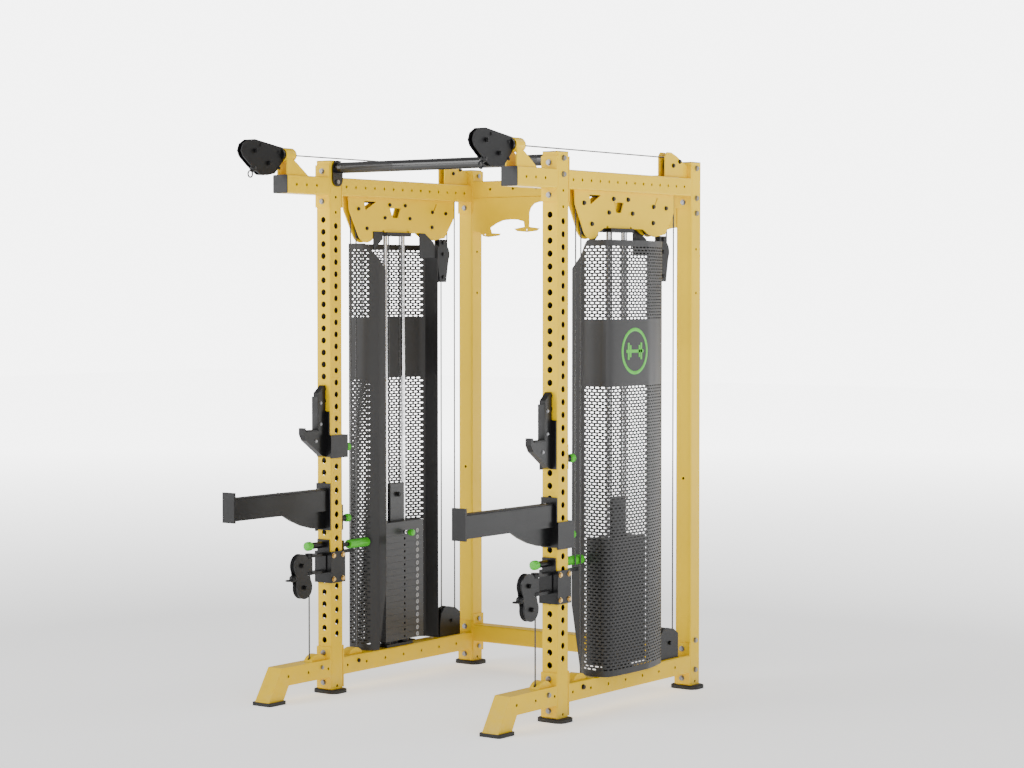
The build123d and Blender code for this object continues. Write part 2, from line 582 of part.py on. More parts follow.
def shroud(side):
    """One folded sheet, with its two cut corners on the front flange."""
    with BuildSketch(Plane.XY.offset(SHROUD_LOW)) as plan:
        with BuildLine() as folds:
            Polyline([(across(side, inn), along(back)) for inn, back in SHROUD_PLAN])
            offset(amount=SHEET, side=Side.LEFT if side < 0 else Side.RIGHT)
        make_face()
    extrude(plan.sketch, amount=SHROUD_TOP - SHROUD_LOW)
    for corner in (
        [(16, 1912), (16, 1900), (98, 1797), (110, 1797), (110, 1912)],
        [(66, 151), (98, 430), (110, 430), (110, 151)],
    ):
        with BuildSketch(Plane.XZ.offset(-along(300))) as cut:
            with BuildLine():
                Polyline([(across(side, inn), z) for inn, z in corner], close=True)
            make_face()
        extrude(cut.sketch, amount=90, mode=Mode.SUBTRACT)


with BuildPart() as shroud_left:
    shroud(-1)
save(shroud_left, "shroud_left")

with BuildPart() as shroud_right:
    shroud(1)
save(shroud_right, "shroud_right")

# ---- brackets between the shrouds and the rail plates ----
SHROUD_BRACKET = [(587, 1960), (625, 1960), (690, 1920), (704, 1890), (704, 1852), (590, 1852)]
with BuildPart() as shroud_brackets:
    for side in SIDES.values():
        side_plate(side, (PLATE_OUT, PLATE_OUT + 4), SHROUD_BRACKET)
        side_plate(side, (PLATE_OUT, PLATE_OUT + 4), [(268, 1962), (330, 1962), (330, 1930), (268, 1880)])
        block(side, (-70, -31), (255, 620), (148.1, 151.5))
save(shroud_brackets, "shroud_brackets")


# ---- stack heads: top plate, yoke, stem and the selected first weight ----
HEAD_LOW = STACK_LOW + PLATES * PLATE_PITCH
HEAD_HIGH = HEAD_LOW + 32
YOKE_TOP = 862.0
FIRST_LOW = STACK_LOW + (PLATES - 1) * PLATE_PITCH
PIN_Z = FIRST_LOW + PLATE_THICK / 2


def stack_head(side):
    """The part of the stack that always rises, with the first weight on its pin."""
    weight_plate(side, FIRST_LOW)
    block(
        side, (-PLATE_WIDE / 2, PLATE_WIDE / 2),
        (STACK_Y - PLATE_LONG / 2, STACK_Y + PLATE_LONG / 2), (FIRST_LOW + PLATE_THICK, HEAD_HIGH),
    )
    stack_bores(side, FIRST_LOW - 1, HEAD_HIGH + 1)
    upright_rod(side, 0, STACK_Y, (STACK_LOW + 4, HEAD_HIGH), STEM_R)
    upright_rod(side, 0, STACK_Y, (HEAD_LOW, HEAD_HIGH), STEM_R + 1.5)
    for n in range(PLATES):
        middle = STACK_LOW + n * PLATE_PITCH + PLATE_THICK / 2
        cross_rod(side, (PLATE_WIDE / 2 + 1, -STEM_R - 1), STACK_Y, middle, PIN_R + 0.5, Mode.SUBTRACT)
    for inns in ((10, 16), (-16, -10)):
        block(side, inns, (STACK_Y - 47, STACK_Y + 47), (HEAD_HIGH, YOKE_TOP))
    cross_rod(side, (-24, 24), HEAD_PULLEY[0], HEAD_PULLEY[1], AXLE_R)
    for inns in ((16, 24), (-24, -16)):
        cross_rod(side, inns, HEAD_PULLEY[0], HEAD_PULLEY[1], 9)


def selector_pin(side):
    """Pin through the first weight into the stem, with its knob."""
    cross_rod(side, (-STEM_R + 1, 88), STACK_Y, PIN_Z, PIN_R)
    cross_rod(side, (PLATE_WIDE / 2 + 2, 66), STACK_Y, PIN_Z, PIN_R + 3)
    cross_rod(side, (80, 108), STACK_Y, PIN_Z, 14)


# ---- floating blocks between the two cables of each side ----
FLOAT_LOW_Z = 1745.0
FLOAT_TOP = [(742, 1870), (742, 1936), (800, 1936), (800, 1870)]
FLOAT_LOW = [(730, 1846), (748, FLOAT_LOW_Z), (794, FLOAT_LOW_Z), (812, 1846)]


def floating_block(side):
    """Two cheeks joined by a clevis block, with the pulley's axle."""
    back, z, _ = FLOAT_PULLEY
    for inns in ((8, 12), (-12, -8)):
        disc_plate(side, inns, back, z, 48)
        side_plate(side, inns, FLOAT_LOW)
        side_plate(side, inns, FLOAT_TOP)
    block(side, (-8, 8), (752, 790), (FLOAT_LOW_Z, 1790))
    cross_rod(side, (-12, 12), back, z, AXLE_R)


# ---- carriages on the front uprights ----
CARRIAGE_LOW = 471.6
CARRIAGE_HIGH = 604.0
LUGS = ((515, 526), (587, 598))
SWIVEL_R = 13.0
GRIP_INN = 24.0
CARRIAGE_ANCHOR_Z = 600.0


def carriage(side):
    """Sleeve round the upright, lugs for the swivel, pin housing, grip and cable anchor."""
    block(side, (-SLEEVE_OUT, SLEEVE_OUT), (-SLEEVE_OUT, SLEEVE_OUT), (CARRIAGE_LOW, CARRIAGE_HIGH))
    block(side, (-SLEEVE_IN, SLEEVE_IN), (-SLEEVE_IN, SLEEVE_IN), (CARRIAGE_LOW, CARRIAGE_HIGH), Mode.SUBTRACT)
    block(side, (-32, 32), (-SLEEVE_OUT, -SLEEVE_IN), (CARRIAGE_HIGH - 2, 655))
    for low, high in LUGS:
        block(side, (-20, 20), (SWIVEL_BACK, -SLEEVE_IN), (low, high))
        upright_rod(side, 0, SWIVEL_BACK, (low, high), 20)
        upright_rod(side, 0, SWIVEL_BACK, (low - 1, high + 1), SWIVEL_R + 0.1, Mode.SUBTRACT)
    block(side, (-20, 20), (-SLEEVE_OUT - 6, -SLEEVE_IN), (515, 598))
    long_rod(side, 0, (-118, -SLEEVE_IN), CARRIAGE_Z, PIN_HOUSING_R)
    long_rod(side, 0, (-119, -SLEEVE_IN + 1), CARRIAGE_Z, PULL_PIN_R + 0.4, Mode.SUBTRACT)
    block(side, (0, 40), (SLEEVE_IN, SLEEVE_OUT), (CARRIAGE_HIGH - 2, 646))
    long_rod(side, GRIP_INN, (SLEEVE_OUT, 100), 625, 9)
    long_rod(side, GRIP_INN, (92, 216), 625, KNOB_R)
    block(side, (-8, 4), (SLEEVE_OUT - 2, 150), (586, CARRIAGE_ANCHOR_Z))


def carriage_pin(side):
    """Pull pin at the front of the carriage."""
    long_rod(side, 0, (-154, -HALF_TUBE - 0.6), CARRIAGE_Z, PULL_PIN_R)
    long_rod(side, 0, (-154, -118.5), CARRIAGE_Z, KNOB_R + 1.5)


def carriage_swivel(side):
    """Hollow pivot with two cheeks, the pulleys' axles, the cable's stop and the eye."""
    upright_rod(side, 0, SWIVEL_BACK, (513, 600), SWIVEL_R)
    upright_rod(side, 0, SWIVEL_BACK, (512, 601), 6, Mode.SUBTRACT)
    upright_rod(side, 0, SWIVEL_BACK, (600, 603), SWIVEL_R + 4)
    for inns in ((8, 13), (-13, -8)):
        for back, z, _ in (CARRIAGE_PULLEY_LOW, CARRIAGE_PULLEY_HIGH):
            disc_plate(side, inns, back, z, 48)
        side_plate(side, inns, [(-224, 470), (-240, 548), (-152, 548), (-133, 470)])
        side_plate(side, inns, [(-160, 530), (-128, 530), (-128, 583), (-160, 583)])
        upright_rod(side, 0, SWIVEL_BACK, (529, 584), 6, Mode.SUBTRACT)
    for low, high in LUGS:
        for inns in ((7, 14), (-14, -7)):
            block(side, inns, (-157.5, -116), (low - 2, high + 2), Mode.SUBTRACT)
        upright_rod(side, 0, SWIVEL_BACK, (low - 2, high + 2), SWIVEL_R)
        upright_rod(side, 0, SWIVEL_BACK, (low - 3, high + 3), 6, Mode.SUBTRACT)
    for back, z, _ in (CARRIAGE_PULLEY_LOW, CARRIAGE_PULLEY_HIGH):
        cross_rod(side, (-17, 17), back, z, AXLE_R)
        for inns in ((13, 20), (-20, -13)):
            cross_rod(side, inns, back, z, 9)
    with Locations((across(side, 0), along(CARRIAGE_STOP[0]), CARRIAGE_STOP[1])):
        Sphere(CARRIAGE_STOP[2])
    eye = Location((across(side, 0), along(-262), 500), (0, 0, 0))
    add(eye * Torus(13, 3.2, mode=Mode.PRIVATE))


# ---- swivels on the top arms ----
ARM_CHEEK = [
    (-304, 2240), (-304, 2295), (-475, 2322), (-512, 2319), (-545, 2300), (-556, 2272), (-545, 2250),
    (-508, 2221), (-470, 2194), (-440, 2178), (-400, 2178), (-355, 2187),
]


def arm_swivel(side):
    """Two cheeks on a hollow spigot that turns in the arm's barrel."""
    for inns in ((8, 13), (-13, -8)):
        side_plate(side, inns, ARM_CHEEK)
    long_rod(side, 0, (-312, BARREL[0] - 0.6), BARREL_Z, 25)
    long_rod(side, 0, (-312, BARREL[1] + 0.6), BARREL_Z, BARREL_BORE_R - 0.1)
    long_rod(side, 0, (BARREL[1] + 0.6, BARREL[1] + 7), BARREL_Z, 25)
    long_rod(side, 0, (-313, BARREL[1] + 8), BARREL_Z, 9, Mode.SUBTRACT)
    for back, z, _ in (ARM_PULLEY_FRONT, ARM_PULLEY_BACK):
        cross_rod(side, (-16, 16), back, z, AXLE_R)
        for inns in ((13, 19), (-19, -13)):
            cross_rod(side, inns, back, z, 8)
    with Locations((across(side, 0), along(ARM_STOP[0]), ARM_STOP[1])):
        Sphere(ARM_STOP[2])
    eye = Location((across(side, 0), along(-490), 2180), (0, 90, 0))
    add(eye * Torus(13, 3.2, mode=Mode.PRIVATE))


# ---- J-cups ----
JCUP_OUTLINE = [
    (-44.4, 1005), (-65, 1011), (-168, 1080), (-183, 1105), (-183, 1133), (-170, 1133), (-165, 1116),
    (-90, 1116), (-88, 1277), (-50, 1308), (-44.4, 1308),
]
WRAP_OUT = 46.0
WRAP_BACK = 66.0
PIN_KNOB = (95.0, 125.0)


def wrap(side, hand, front, zs, pin_z):
    """Bracket that reaches round one side of the upright to a pull pin behind it."""
    side_inns = tuple(sorted((hand * SLEEVE_IN, hand * WRAP_OUT)))
    block(side, side_inns, (front, WRAP_BACK), zs)
    rear_inns = tuple(sorted((hand * WRAP_OUT, hand * -18)))
    block(side, rear_inns, (WRAP_BACK - 6, WRAP_BACK), zs)
    long_rod(side, 0, (WRAP_BACK - 14, PIN_KNOB[0] - 1), pin_z, PIN_HOUSING_R)
    long_rod(side, 0, (WRAP_BACK - 20, PIN_KNOB[0]), pin_z, PULL_PIN_R + 0.4, Mode.SUBTRACT)


def jcup(side):
    """Hook with a back plate and its wrap on the inner side of the upright."""
    side_plate(side, (-14, 14), JCUP_OUTLINE)
    block(side, (-34, WRAP_OUT), (-44.4, -HALF_TUBE - GAP), (1005, 1097))
    block(side, (-34, 34), (-44.4, -HALF_TUBE - GAP), (1096, 1197))
    wrap(side, 1, -44.4, (1000, 1097), JCUP_Z)


def rear_pin(side, z):
    """Pull pin behind the upright."""
    long_rod(side, 0, (HALF_TUBE + 0.6, PIN_KNOB[1]), z, PULL_PIN_R)
    long_rod(side, 0, PIN_KNOB, z, KNOB_R)


# ---- spotter arms ----
def spotter_arm(side):
    """Safety arm with back plate, gusset, end plate and its wrap on the outer side."""
    block(side, (-25, 25), (-SPOTTER_REACH + 10, -44), (777, 864))
    block(side, (-21, 21), (-SPOTTER_REACH + 14, -46), (781, 860), Mode.SUBTRACT)
    block(side, (-32, 32), (-SPOTTER_REACH, -SPOTTER_REACH + 10), (769.6, 893))
    block(side, (-38, 38), (-44.6, -HALF_TUBE - GAP), (695, 893))
    side_plate(
        side, (-5, 5), [(-44, 700), (-120, 707), (-190, 724), (-255, 749), (-312, 778), (-312, 790), (-44, 790)]
    )
    block(side, (-WRAP_OUT, -30), (-44.6, -HALF_TUBE - GAP), (695, 796))
    wrap(side, -1, -44.6, (688, 796), SPOTTER_Z)


# ---- cables ----
def over(first, second, back):
    """Corner where the line over two equal pulleys meets the plumb line at back."""
    slope = (second[1] - first[1]) / (second[0] - first[0])
    lift = first[2] * math.sqrt(1 + slope * slope)
    return (back, first[1] + lift + slope * (back - first[0]), first[2])


def u_turn(wheel, backs):
    """Two corners under a pulley, between its two plumb lines."""
    low = wheel[1] - wheel[2]
    bend = wheel[2] - 0.5
    return [(backs[0], low, bend), (backs[1], low, bend)]


def cables(side):
    """The two steel cables of one side at rest, each in one run round its pulleys."""
    low = CARRIAGE_PULLEY_LOW
    anchor = ANCHOR_PULLEY[0] - ANCHOR_PULLEY[2]
    rise = BASE_AXLE_BACK + BASE_PULLEY_R
    float_front = FLOAT_PULLEY[0] - FLOAT_PULLEY[2]
    float_back = FLOAT_PULLEY[0] + FLOAT_PULLEY[2]
    head_front = STACK_FRONT_PULLEY[0] + STACK_FRONT_PULLEY[2]
    head_back = STACK_BACK_PULLEY[0] - STACK_BACK_PULLEY[2]
    rail_level = ANCHOR_PULLEY[1] + ANCHOR_PULLEY[2]
    carriage_cable = [
        (anchor, CARRIAGE_ANCHOR_Z + STOP_GAP, 0),
        (anchor, rail_level, ANCHOR_PULLEY[2]),
        (float_back, rail_level, BLOCK_RAIL_PULLEY[2]),
        *u_turn(FLOAT_PULLEY, (float_back, float_front)),
        over(REAR_RAIL_PULLEY, STACK_BACK_PULLEY, float_front),
        over(REAR_RAIL_PULLEY, STACK_BACK_PULLEY, head_back),
        *u_turn(HEAD_PULLEY, (head_back, head_front)),
        over(FRONT_RAIL_PULLEY, STACK_FRONT_PULLEY, head_front),
        over(FRONT_RAIL_PULLEY, STACK_FRONT_PULLEY, rise),
        (rise, CABLE_LOW, BASE_PULLEY_R),
        (SWIVEL_BACK, CABLE_LOW, BASE_PULLEY_R),
        (SWIVEL_BACK, low[1] + low[2], low[2]),
        (CARRIAGE_STOP[0] + CARRIAGE_STOP[2] + STOP_GAP, low[1] + low[2], 0),
    ]
    cable(side, carriage_cable)

    # the upper cable leaves its stop in a line that just touches the back pulley of the arm swivel
    run = ARM_PULLEY_BACK[0] - ARM_STOP[0]
    rise_to_axle = ARM_PULLEY_BACK[1] - ARM_STOP[1]
    angle = math.atan2(rise_to_axle, run) + math.asin(ARM_PULLEY_BACK[2] / math.hypot(run, rise_to_axle))
    clear = ARM_STOP[2] + STOP_GAP
    drop = REAR_BASE_PULLEY[0] + REAR_BASE_PULLEY[2]
    arm_cable = [
        (ARM_STOP[0] + clear * math.cos(angle), ARM_STOP[1] + clear * math.sin(angle), 0),
        (ARM_STOP[0] + (ARM_CABLE_Z - ARM_STOP[1]) / math.tan(angle), ARM_CABLE_Z, ARM_PULLEY_BACK[2]),
        (drop, ARM_CABLE_Z, TOP_PULLEY[2]),
        *u_turn(REAR_BASE_PULLEY, (drop, FLOAT_PULLEY[0])),
        (FLOAT_PULLEY[0], FLOAT_LOW_Z - STOP_GAP, 0),
    ]
    cable(side, arm_cable)


for name, side in SIDES.items():
    with BuildPart() as piece:
        stack_head(side)
    save(piece, f"stack_head_{name}")

    with BuildPart() as piece:
        pulley(side, HEAD_PULLEY)
    save(piece, f"head_pulley_{name}")

    with BuildPart() as piece:
        selector_pin(side)
    save(piece, f"selector_pin_{name}")

    with BuildPart() as piece:
        floating_block(side)
    save(piece, f"floating_block_{name}")

    with BuildPart() as piece:
        pulley(side, FLOAT_PULLEY)
    save(piece, f"floating_pulley_{name}")

    with BuildPart() as piece:
        carriage(side)
    save(piece, f"carriage_{name}")

    with BuildPart() as piece:
        carriage_pin(side)
    save(piece, f"carriage_pin_{name}")

    with BuildPart() as piece:
        carriage_swivel(side)
    save(piece, f"carriage_swivel_{name}")

    with BuildPart() as piece:
        pulley(side, CARRIAGE_PULLEY_LOW)
    save(piece, f"carriage_pulley_low_{name}")

    with BuildPart() as piece:
        pulley(side, CARRIAGE_PULLEY_HIGH)
    save(piece, f"carriage_pulley_high_{name}")

    with BuildPart() as piece:
        arm_swivel(side)
    save(piece, f"arm_swivel_{name}")

    with BuildPart() as piece:
        pulley(side, ARM_PULLEY_FRONT)
    save(piece, f"arm_pulley_front_{name}")

    with BuildPart() as piece:
        pulley(side, ARM_PULLEY_BACK)
    save(piece, f"arm_pulley_back_{name}")

    with BuildPart() as piece:
        pulley(side, TOP_PULLEY)
    save(piece, f"top_rear_pulley_{name}")

    with BuildPart() as piece:
        jcup(side)
    save(piece, f"jcup_{name}")

    with BuildPart() as piece:
        rear_pin(side, JCUP_Z)
    save(piece, f"jcup_pin_{name}")

    with BuildPart() as piece:
        spotter_arm(side)
    save(piece, f"spotter_arm_{name}")

    with BuildPart() as piece:
        rear_pin(side, SPOTTER_Z)
    save(piece, f"spotter_pin_{name}")

    with BuildPart() as piece:
        cables(side)
    save(piece, f"cables_{name}")
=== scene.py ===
import json
import math
from typing import NamedTuple

import bpy
from mathutils import Matrix, Vector


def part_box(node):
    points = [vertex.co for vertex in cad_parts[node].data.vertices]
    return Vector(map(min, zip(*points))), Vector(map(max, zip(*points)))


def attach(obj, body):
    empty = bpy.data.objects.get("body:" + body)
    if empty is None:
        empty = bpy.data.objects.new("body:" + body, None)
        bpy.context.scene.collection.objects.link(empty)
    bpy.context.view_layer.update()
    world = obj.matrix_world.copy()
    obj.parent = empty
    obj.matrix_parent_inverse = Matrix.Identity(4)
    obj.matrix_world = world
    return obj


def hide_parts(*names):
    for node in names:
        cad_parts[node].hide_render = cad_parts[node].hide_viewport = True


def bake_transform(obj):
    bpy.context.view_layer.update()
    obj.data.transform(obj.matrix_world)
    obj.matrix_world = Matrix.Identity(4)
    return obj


bl_info = {
    "name": "Power Cage",
    "version": (1, 0, 0),
    "blender": (4, 5, 0),
    "location": "View3D > Sidebar > Cage",
    "description": "Finishes, sheet shrouds, knobs, cables and fittings of a power cage",
    "category": "Object",
}

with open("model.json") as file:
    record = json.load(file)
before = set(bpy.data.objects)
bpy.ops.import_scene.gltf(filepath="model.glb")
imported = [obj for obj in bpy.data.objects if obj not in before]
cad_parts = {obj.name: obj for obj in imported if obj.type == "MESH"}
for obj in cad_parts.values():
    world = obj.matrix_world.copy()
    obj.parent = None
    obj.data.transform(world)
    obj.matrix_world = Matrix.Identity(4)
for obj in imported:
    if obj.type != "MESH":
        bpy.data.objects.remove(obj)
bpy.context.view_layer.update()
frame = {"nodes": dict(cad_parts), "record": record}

SIDES = {"left": -1, "right": 1}
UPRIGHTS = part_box("uprights")
TUBE = 0.0762
HALF_X = UPRIGHTS[1].x - TUBE / 2
FRONT_Y = UPRIGHTS[0].y + TUBE / 2
SPAN_Y = UPRIGHTS[1].y - TUBE / 2 - FRONT_Y


def across(side, inn):
    """X of a point that lies inn inside the axis of one side's uprights."""
    return side * (HALF_X - inn)


def spot(side, inn, back, height):
    """A point of the cage from its distances inside and behind the front upright's axis."""
    return Vector((across(side, inn), FRONT_Y + back, height))


# ---- settings that a user would change ----
def length(name, description, default):
    return bpy.props.FloatProperty(name=name, description=description, default=default, unit="LENGTH", precision=4)


def colour(name, description, default):
    return bpy.props.FloatVectorProperty(
        name=name, description=description, default=default, subtype="COLOR", size=3, min=0, max=1
    )


class CageSheetSizes(bpy.types.PropertyGroup):
    """Slots and plain areas of the folded sheet shrouds"""

    slot_length: length("Slot length", "Length of one slot", 0.0190)
    slot_height: length("Slot height", "Height of one slot", 0.0060)
    column_pitch: length("Column pitch", "Distance between two slots of a row", 0.0265)
    row_pitch: length("Row pitch", "Distance between two rows of slots", 0.0125)
    band_low: length("Band bottom", "Lower edge of the plain band", 1.335)
    band_high: length("Band top", "Upper edge of the plain band", 1.588)
    margin: length("Margin", "Plain strip above and below the slots", 0.022)
    thickness: length("Sheet", "Thickness of the sheet", 0.002)


class CageFittingSizes(bpy.types.PropertyGroup):
    """Cables, knobs and number discs"""

    cable_radius: length("Cable radius", "Radius of the coated cable", 0.003)
    disc_radius: length("Disc radius", "Radius of a number disc on the weights", 0.0098)
    digit_size: length("Digit size", "Height of the figures on the discs", 0.0105)
    flutes: bpy.props.IntProperty(name="Flutes", description="Flutes round a knob", default=12, min=4, max=24)


class CageColours(bpy.types.PropertyGroup):
    """Colours of the finishes"""

    frame: colour("Frame", "Powder coat of the frame", (0.88, 0.57, 0.0))
    plates: colour("Black plates", "Powder coat of the black plates", (0.0045, 0.0045, 0.005))
    sheet: colour("Shroud", "Powder coat of the shrouds", (0.032, 0.0315, 0.032))
    grip: colour("Grip", "Plastic of the knobs and grips", (0.075, 0.55, 0.022))
    badge: colour("Badge", "Print on the shroud's plain band", (0.06, 0.50, 0.015))
    brass: colour("Brass", "Plating of the roller bolts", (0.62, 0.42, 0.16))


# ---- finishes ----
BLACK_BOLTS = (0.068, 0.898)
WALL_FACE = 0.0343
HAIR = 0.0004
# Near-black painted shade for the inner walls of the upright tubes, where the holes look dark.
TUBE_INSIDE_PAINTED_SHADE = (0.014, 0.011, 0.008, 1)
BAR_BACK = 0.005
BAR_Z = 2.223
KNURL_FROM = 0.225
KNURL_TO = 0.505
KNURL_ALONG = 1800.0
KNURL_ROUND = 44.0


class Field:
    """A value that varies over a surface. Python's operators add Math nodes."""

    def __init__(self, finish, socket):
        self.finish = finish
        self.socket = socket

    def math(self, operation, *values):
        return self.finish.node("ShaderNodeMath", {"operation": operation}, dict(enumerate(values)))

    def __add__(self, other):
        return self.math("ADD", self, other)

    def __sub__(self, other):
        return self.math("SUBTRACT", self, other)

    def __rsub__(self, other):
        return self.math("SUBTRACT", other, self)

    def __mul__(self, other):
        return self.math("MULTIPLY", self, other)

    __radd__ = __add__
    __rmul__ = __mul__

    def sine(self):
        return self.math("SINE", self)

    def size(self):
        return self.math("ABSOLUTE", self)

    def fade(self, low, high):
        """0 below low, 1 above high."""
        inputs = {"Value": self, "From Min": low, "From Max": high}
        return self.finish.node("ShaderNodeMapRange", {"clamp": True}, inputs)


class Finish:
    """A node material on Object coordinates."""

    def __init__(self, name, metallic=0.0, coat=0.0, specular=0.5):
        self.material = bpy.data.materials.new(name)
        self.material.use_nodes = True
        self.tree = self.material.node_tree
        self.shader = next(n for n in self.tree.nodes if n.type == "BSDF_PRINCIPLED")
        self.set("Metallic", metallic)
        self.set("Coat Weight", coat)
        self.set("Coat Roughness", 0.12)
        self.set("Specular IOR Level", specular)
        self.place = self.node("ShaderNodeTexCoord", output="Object")

    def node(self, kind, settings=None, inputs=None, output=0):
        made = self.tree.nodes.new(kind)
        for key, value in (settings or {}).items():
            setattr(made, key, value)
        for key, value in (inputs or {}).items():
            self.feed(made.inputs[key], value)
        return Field(self, made.outputs[output])

    def feed(self, socket, value):
        if isinstance(value, Field):
            self.tree.links.new(value.socket, socket)
        else:
            socket.default_value = value

    def set(self, name, value):
        self.feed(self.shader.inputs[name], value)

    def noise(self, scale, detail=3.0, stretch=(1, 1, 1)):
        mapped = self.node("ShaderNodeMapping", {}, {"Vector": self.place, "Scale": stretch})
        inputs = {"Vector": mapped, "Scale": scale, "Detail": detail, "Roughness": 0.55}
        return self.node("ShaderNodeTexNoise", {}, inputs)

    def cells(self, scale):
        return self.node("ShaderNodeTexVoronoi", {}, {"Vector": self.place, "Scale": scale}, "Distance")

    def axis(self, name):
        return self.node("ShaderNodeSeparateXYZ", {}, {0: self.place}, name)

    def mix(self, factor, first, second):
        """Colour first where factor is 0, second where it is 1."""
        return self.node("ShaderNodeMix", {"data_type": "RGBA"}, {0: factor, 6: first, 7: second}, 2)

    def bump(self, height, strength, distance):
        inputs = {"Height": height, "Strength": strength, "Distance": distance}
        self.set("Normal", self.node("ShaderNodeBump", {}, inputs))


def shade(rgb, factor):
    return tuple(min(1.0, channel * factor) for channel in rgb[:3]) + (1.0,)


def inside_uprights(finish):
    """1 on the inner walls of the four uprights, 0 elsewhere."""
    mask = 1.0
    for axis, middle, half_span in (("X", 0.0, HALF_X), ("Y", FRONT_Y + SPAN_Y / 2, SPAN_Y / 2)):
        off = ((finish.axis(axis) - middle).size() - half_span).size()
        mask = (1 - off.fade(WALL_FACE, WALL_FACE + HAIR)) * mask
    return mask


def powder_coat(name, rgb, rough, grain, coat, scuffs, specular=0.3, painted_shade_inside=False):
    """Powder coat: orange peel, slow change of shade, dull scuffs, dust near the floor, and, if asked, near-black
    painted shade on the inner walls of the upright tubes.
    """
    finish = Finish(name, coat=coat, specular=specular)
    cloudy = finish.noise(3.5, 4.0)
    peel = finish.noise(grain, 2.0)
    fine = finish.noise(grain * 2.7, 2.0)
    rubbed = finish.noise(17.0, 8.0, (1, 1, 0.35)).fade(0.62, 0.74) * finish.noise(160.0, 4.0).fade(0.45, 0.6)
    dust = finish.axis("Z").fade(0.16, 0.0) * finish.noise(28.0, 5.0).fade(0.35, 0.75)
    body = finish.mix(cloudy.fade(0.3, 0.7), shade(rgb, 0.94), shade(rgb, 1.05))
    body = finish.mix(fine.fade(0.35, 0.65) * 0.25, body, shade(rgb, 0.88))
    body = finish.mix(rubbed * scuffs, body, shade(rgb, 0.72))
    body = finish.mix(dust * 0.25, body, (0.42, 0.39, 0.33, 1))
    # Painted shade: the inner walls of the uprights are coloured near black.
    if painted_shade_inside:
        body = finish.mix(inside_uprights(finish), body, TUBE_INSIDE_PAINTED_SHADE)
    finish.set("Base Color", body)
    finish.set("Roughness", cloudy * 0.10 + rubbed * 0.18 + dust * 0.15 + (rough - 0.05))
    finish.bump(peel + fine * 0.5, 0.16, 0.0006)
    return finish.material


def cast_iron(name, rgb):
    """Painted cast weights: coarse skin under a satin paint."""
    finish = Finish(name, coat=0.15)
    skin = finish.noise(240.0, 5.0)
    pits = finish.cells(520.0)
    worn = finish.noise(36.0, 6.0, (1, 0.4, 1)).fade(0.60, 0.78)
    body = finish.mix(skin.fade(0.3, 0.7), shade(rgb, 0.8), shade(rgb, 1.35))
    finish.set("Base Color", finish.mix(worn * 0.4, body, (0.07, 0.07, 0.072, 1)))
    finish.set("Roughness", skin * 0.2 + worn * 0.1 + 0.32)
    finish.bump(skin + pits * 0.4, 0.25, 0.0008)
    return finish.material


def bright_steel(name, rgb, rough, stretch, brushed=0.35):
    """Bare or plated steel with fine lines and faint stains."""
    finish = Finish(name, metallic=1.0)
    lines = finish.noise(420.0, 3.0, stretch)
    stains = finish.noise(9.0, 6.0).fade(0.45, 0.8)
    body = finish.mix(lines.fade(0.3, 0.7), shade(rgb, 0.88), shade(rgb, 1.08))
    finish.set("Base Color", finish.mix(stains * 0.3, body, shade(rgb, 0.62)))
    finish.set("Roughness", lines * 0.12 + stains * 0.12 + rough)
    finish.bump(lines, brushed * 0.3, 0.0003)
    return finish.material


def two_bolts(name, rgb, black):
    """Zinc-plated bolts in the uprights, blackened ones in the plates between them."""
    finish = Finish(name)
    y = finish.axis("Y")
    front, rear = FRONT_Y + BLACK_BOLTS[0], FRONT_Y + BLACK_BOLTS[1]
    dark = y.fade(front, front + 0.001) * (1 - y.fade(rear, rear + 0.001))
    lines = finish.noise(420.0, 3.0, (1, 1, 0.2))
    stains = finish.noise(9.0, 6.0).fade(0.45, 0.8)
    plated = finish.mix(lines.fade(0.3, 0.7), shade(rgb, 0.85), shade(rgb, 1.15))
    plated = finish.mix(stains * 0.3, plated, shade(rgb, 0.6))
    finish.set("Base Color", finish.mix(dark, plated, shade(black, 1.6)))
    finish.set("Metallic", 1 - dark * 0.7)
    finish.set("Roughness", lines * 0.12 + stains * 0.12 + dark * 0.1 + 0.26)
    finish.bump(lines, 0.1, 0.0003)
    return finish.material


def moulded(name, rgb, rough, grain, lift=1.5):
    """Moulded plastic or rubber with a spark-eroded grain and a little wear."""
    finish = Finish(name, coat=0.05)
    leather = finish.cells(grain)
    fine = finish.noise(grain * 1.8, 2.0)
    worn = finish.noise(22.0, 6.0).fade(0.55, 0.75)
    body = finish.mix(fine.fade(0.3, 0.7), shade(rgb, 0.85), shade(rgb, lift))
    finish.set("Base Color", finish.mix(worn * 0.3, body, shade(rgb, 0.75)))
    finish.set("Roughness", worn * 0.12 + fine * 0.12 + rough)
    finish.bump(leather * 0.7 + fine * 0.5, 0.22, 0.0005)
    return finish.material


def knurled_bar(name, rgb):
    """Black bar with knurled grips near its two ends and plain coat between."""
    finish = Finish(name, coat=0.35)
    x = finish.axis("X")
    rise, back = finish.axis("Z") - BAR_Z, finish.axis("Y") - (FRONT_Y + BAR_BACK)
    turn = rise.math("ARCTAN2", rise, back)
    along, around = x * KNURL_ALONG, turn * KNURL_ROUND
    crossed = (along + around).sine() * (along - around).sine()
    edge = 0.003
    grips = x.size().fade(KNURL_FROM, KNURL_FROM + edge) * (1 - x.size().fade(KNURL_TO, KNURL_TO + edge))
    cloudy = finish.noise(6.0, 4.0)
    body = finish.mix(cloudy.fade(0.3, 0.7), shade(rgb, 0.85), shade(rgb, 1.3))
    finish.set("Base Color", finish.mix(grips * crossed.fade(0.2, 0.9), body, (0.05, 0.05, 0.052, 1)))
    finish.set("Roughness", cloudy * 0.08 + grips * 0.18 + 0.22)
    finish.bump(grips * crossed + finish.noise(700.0, 2.0) * 0.1, 0.5, 0.0006)
    return finish.material


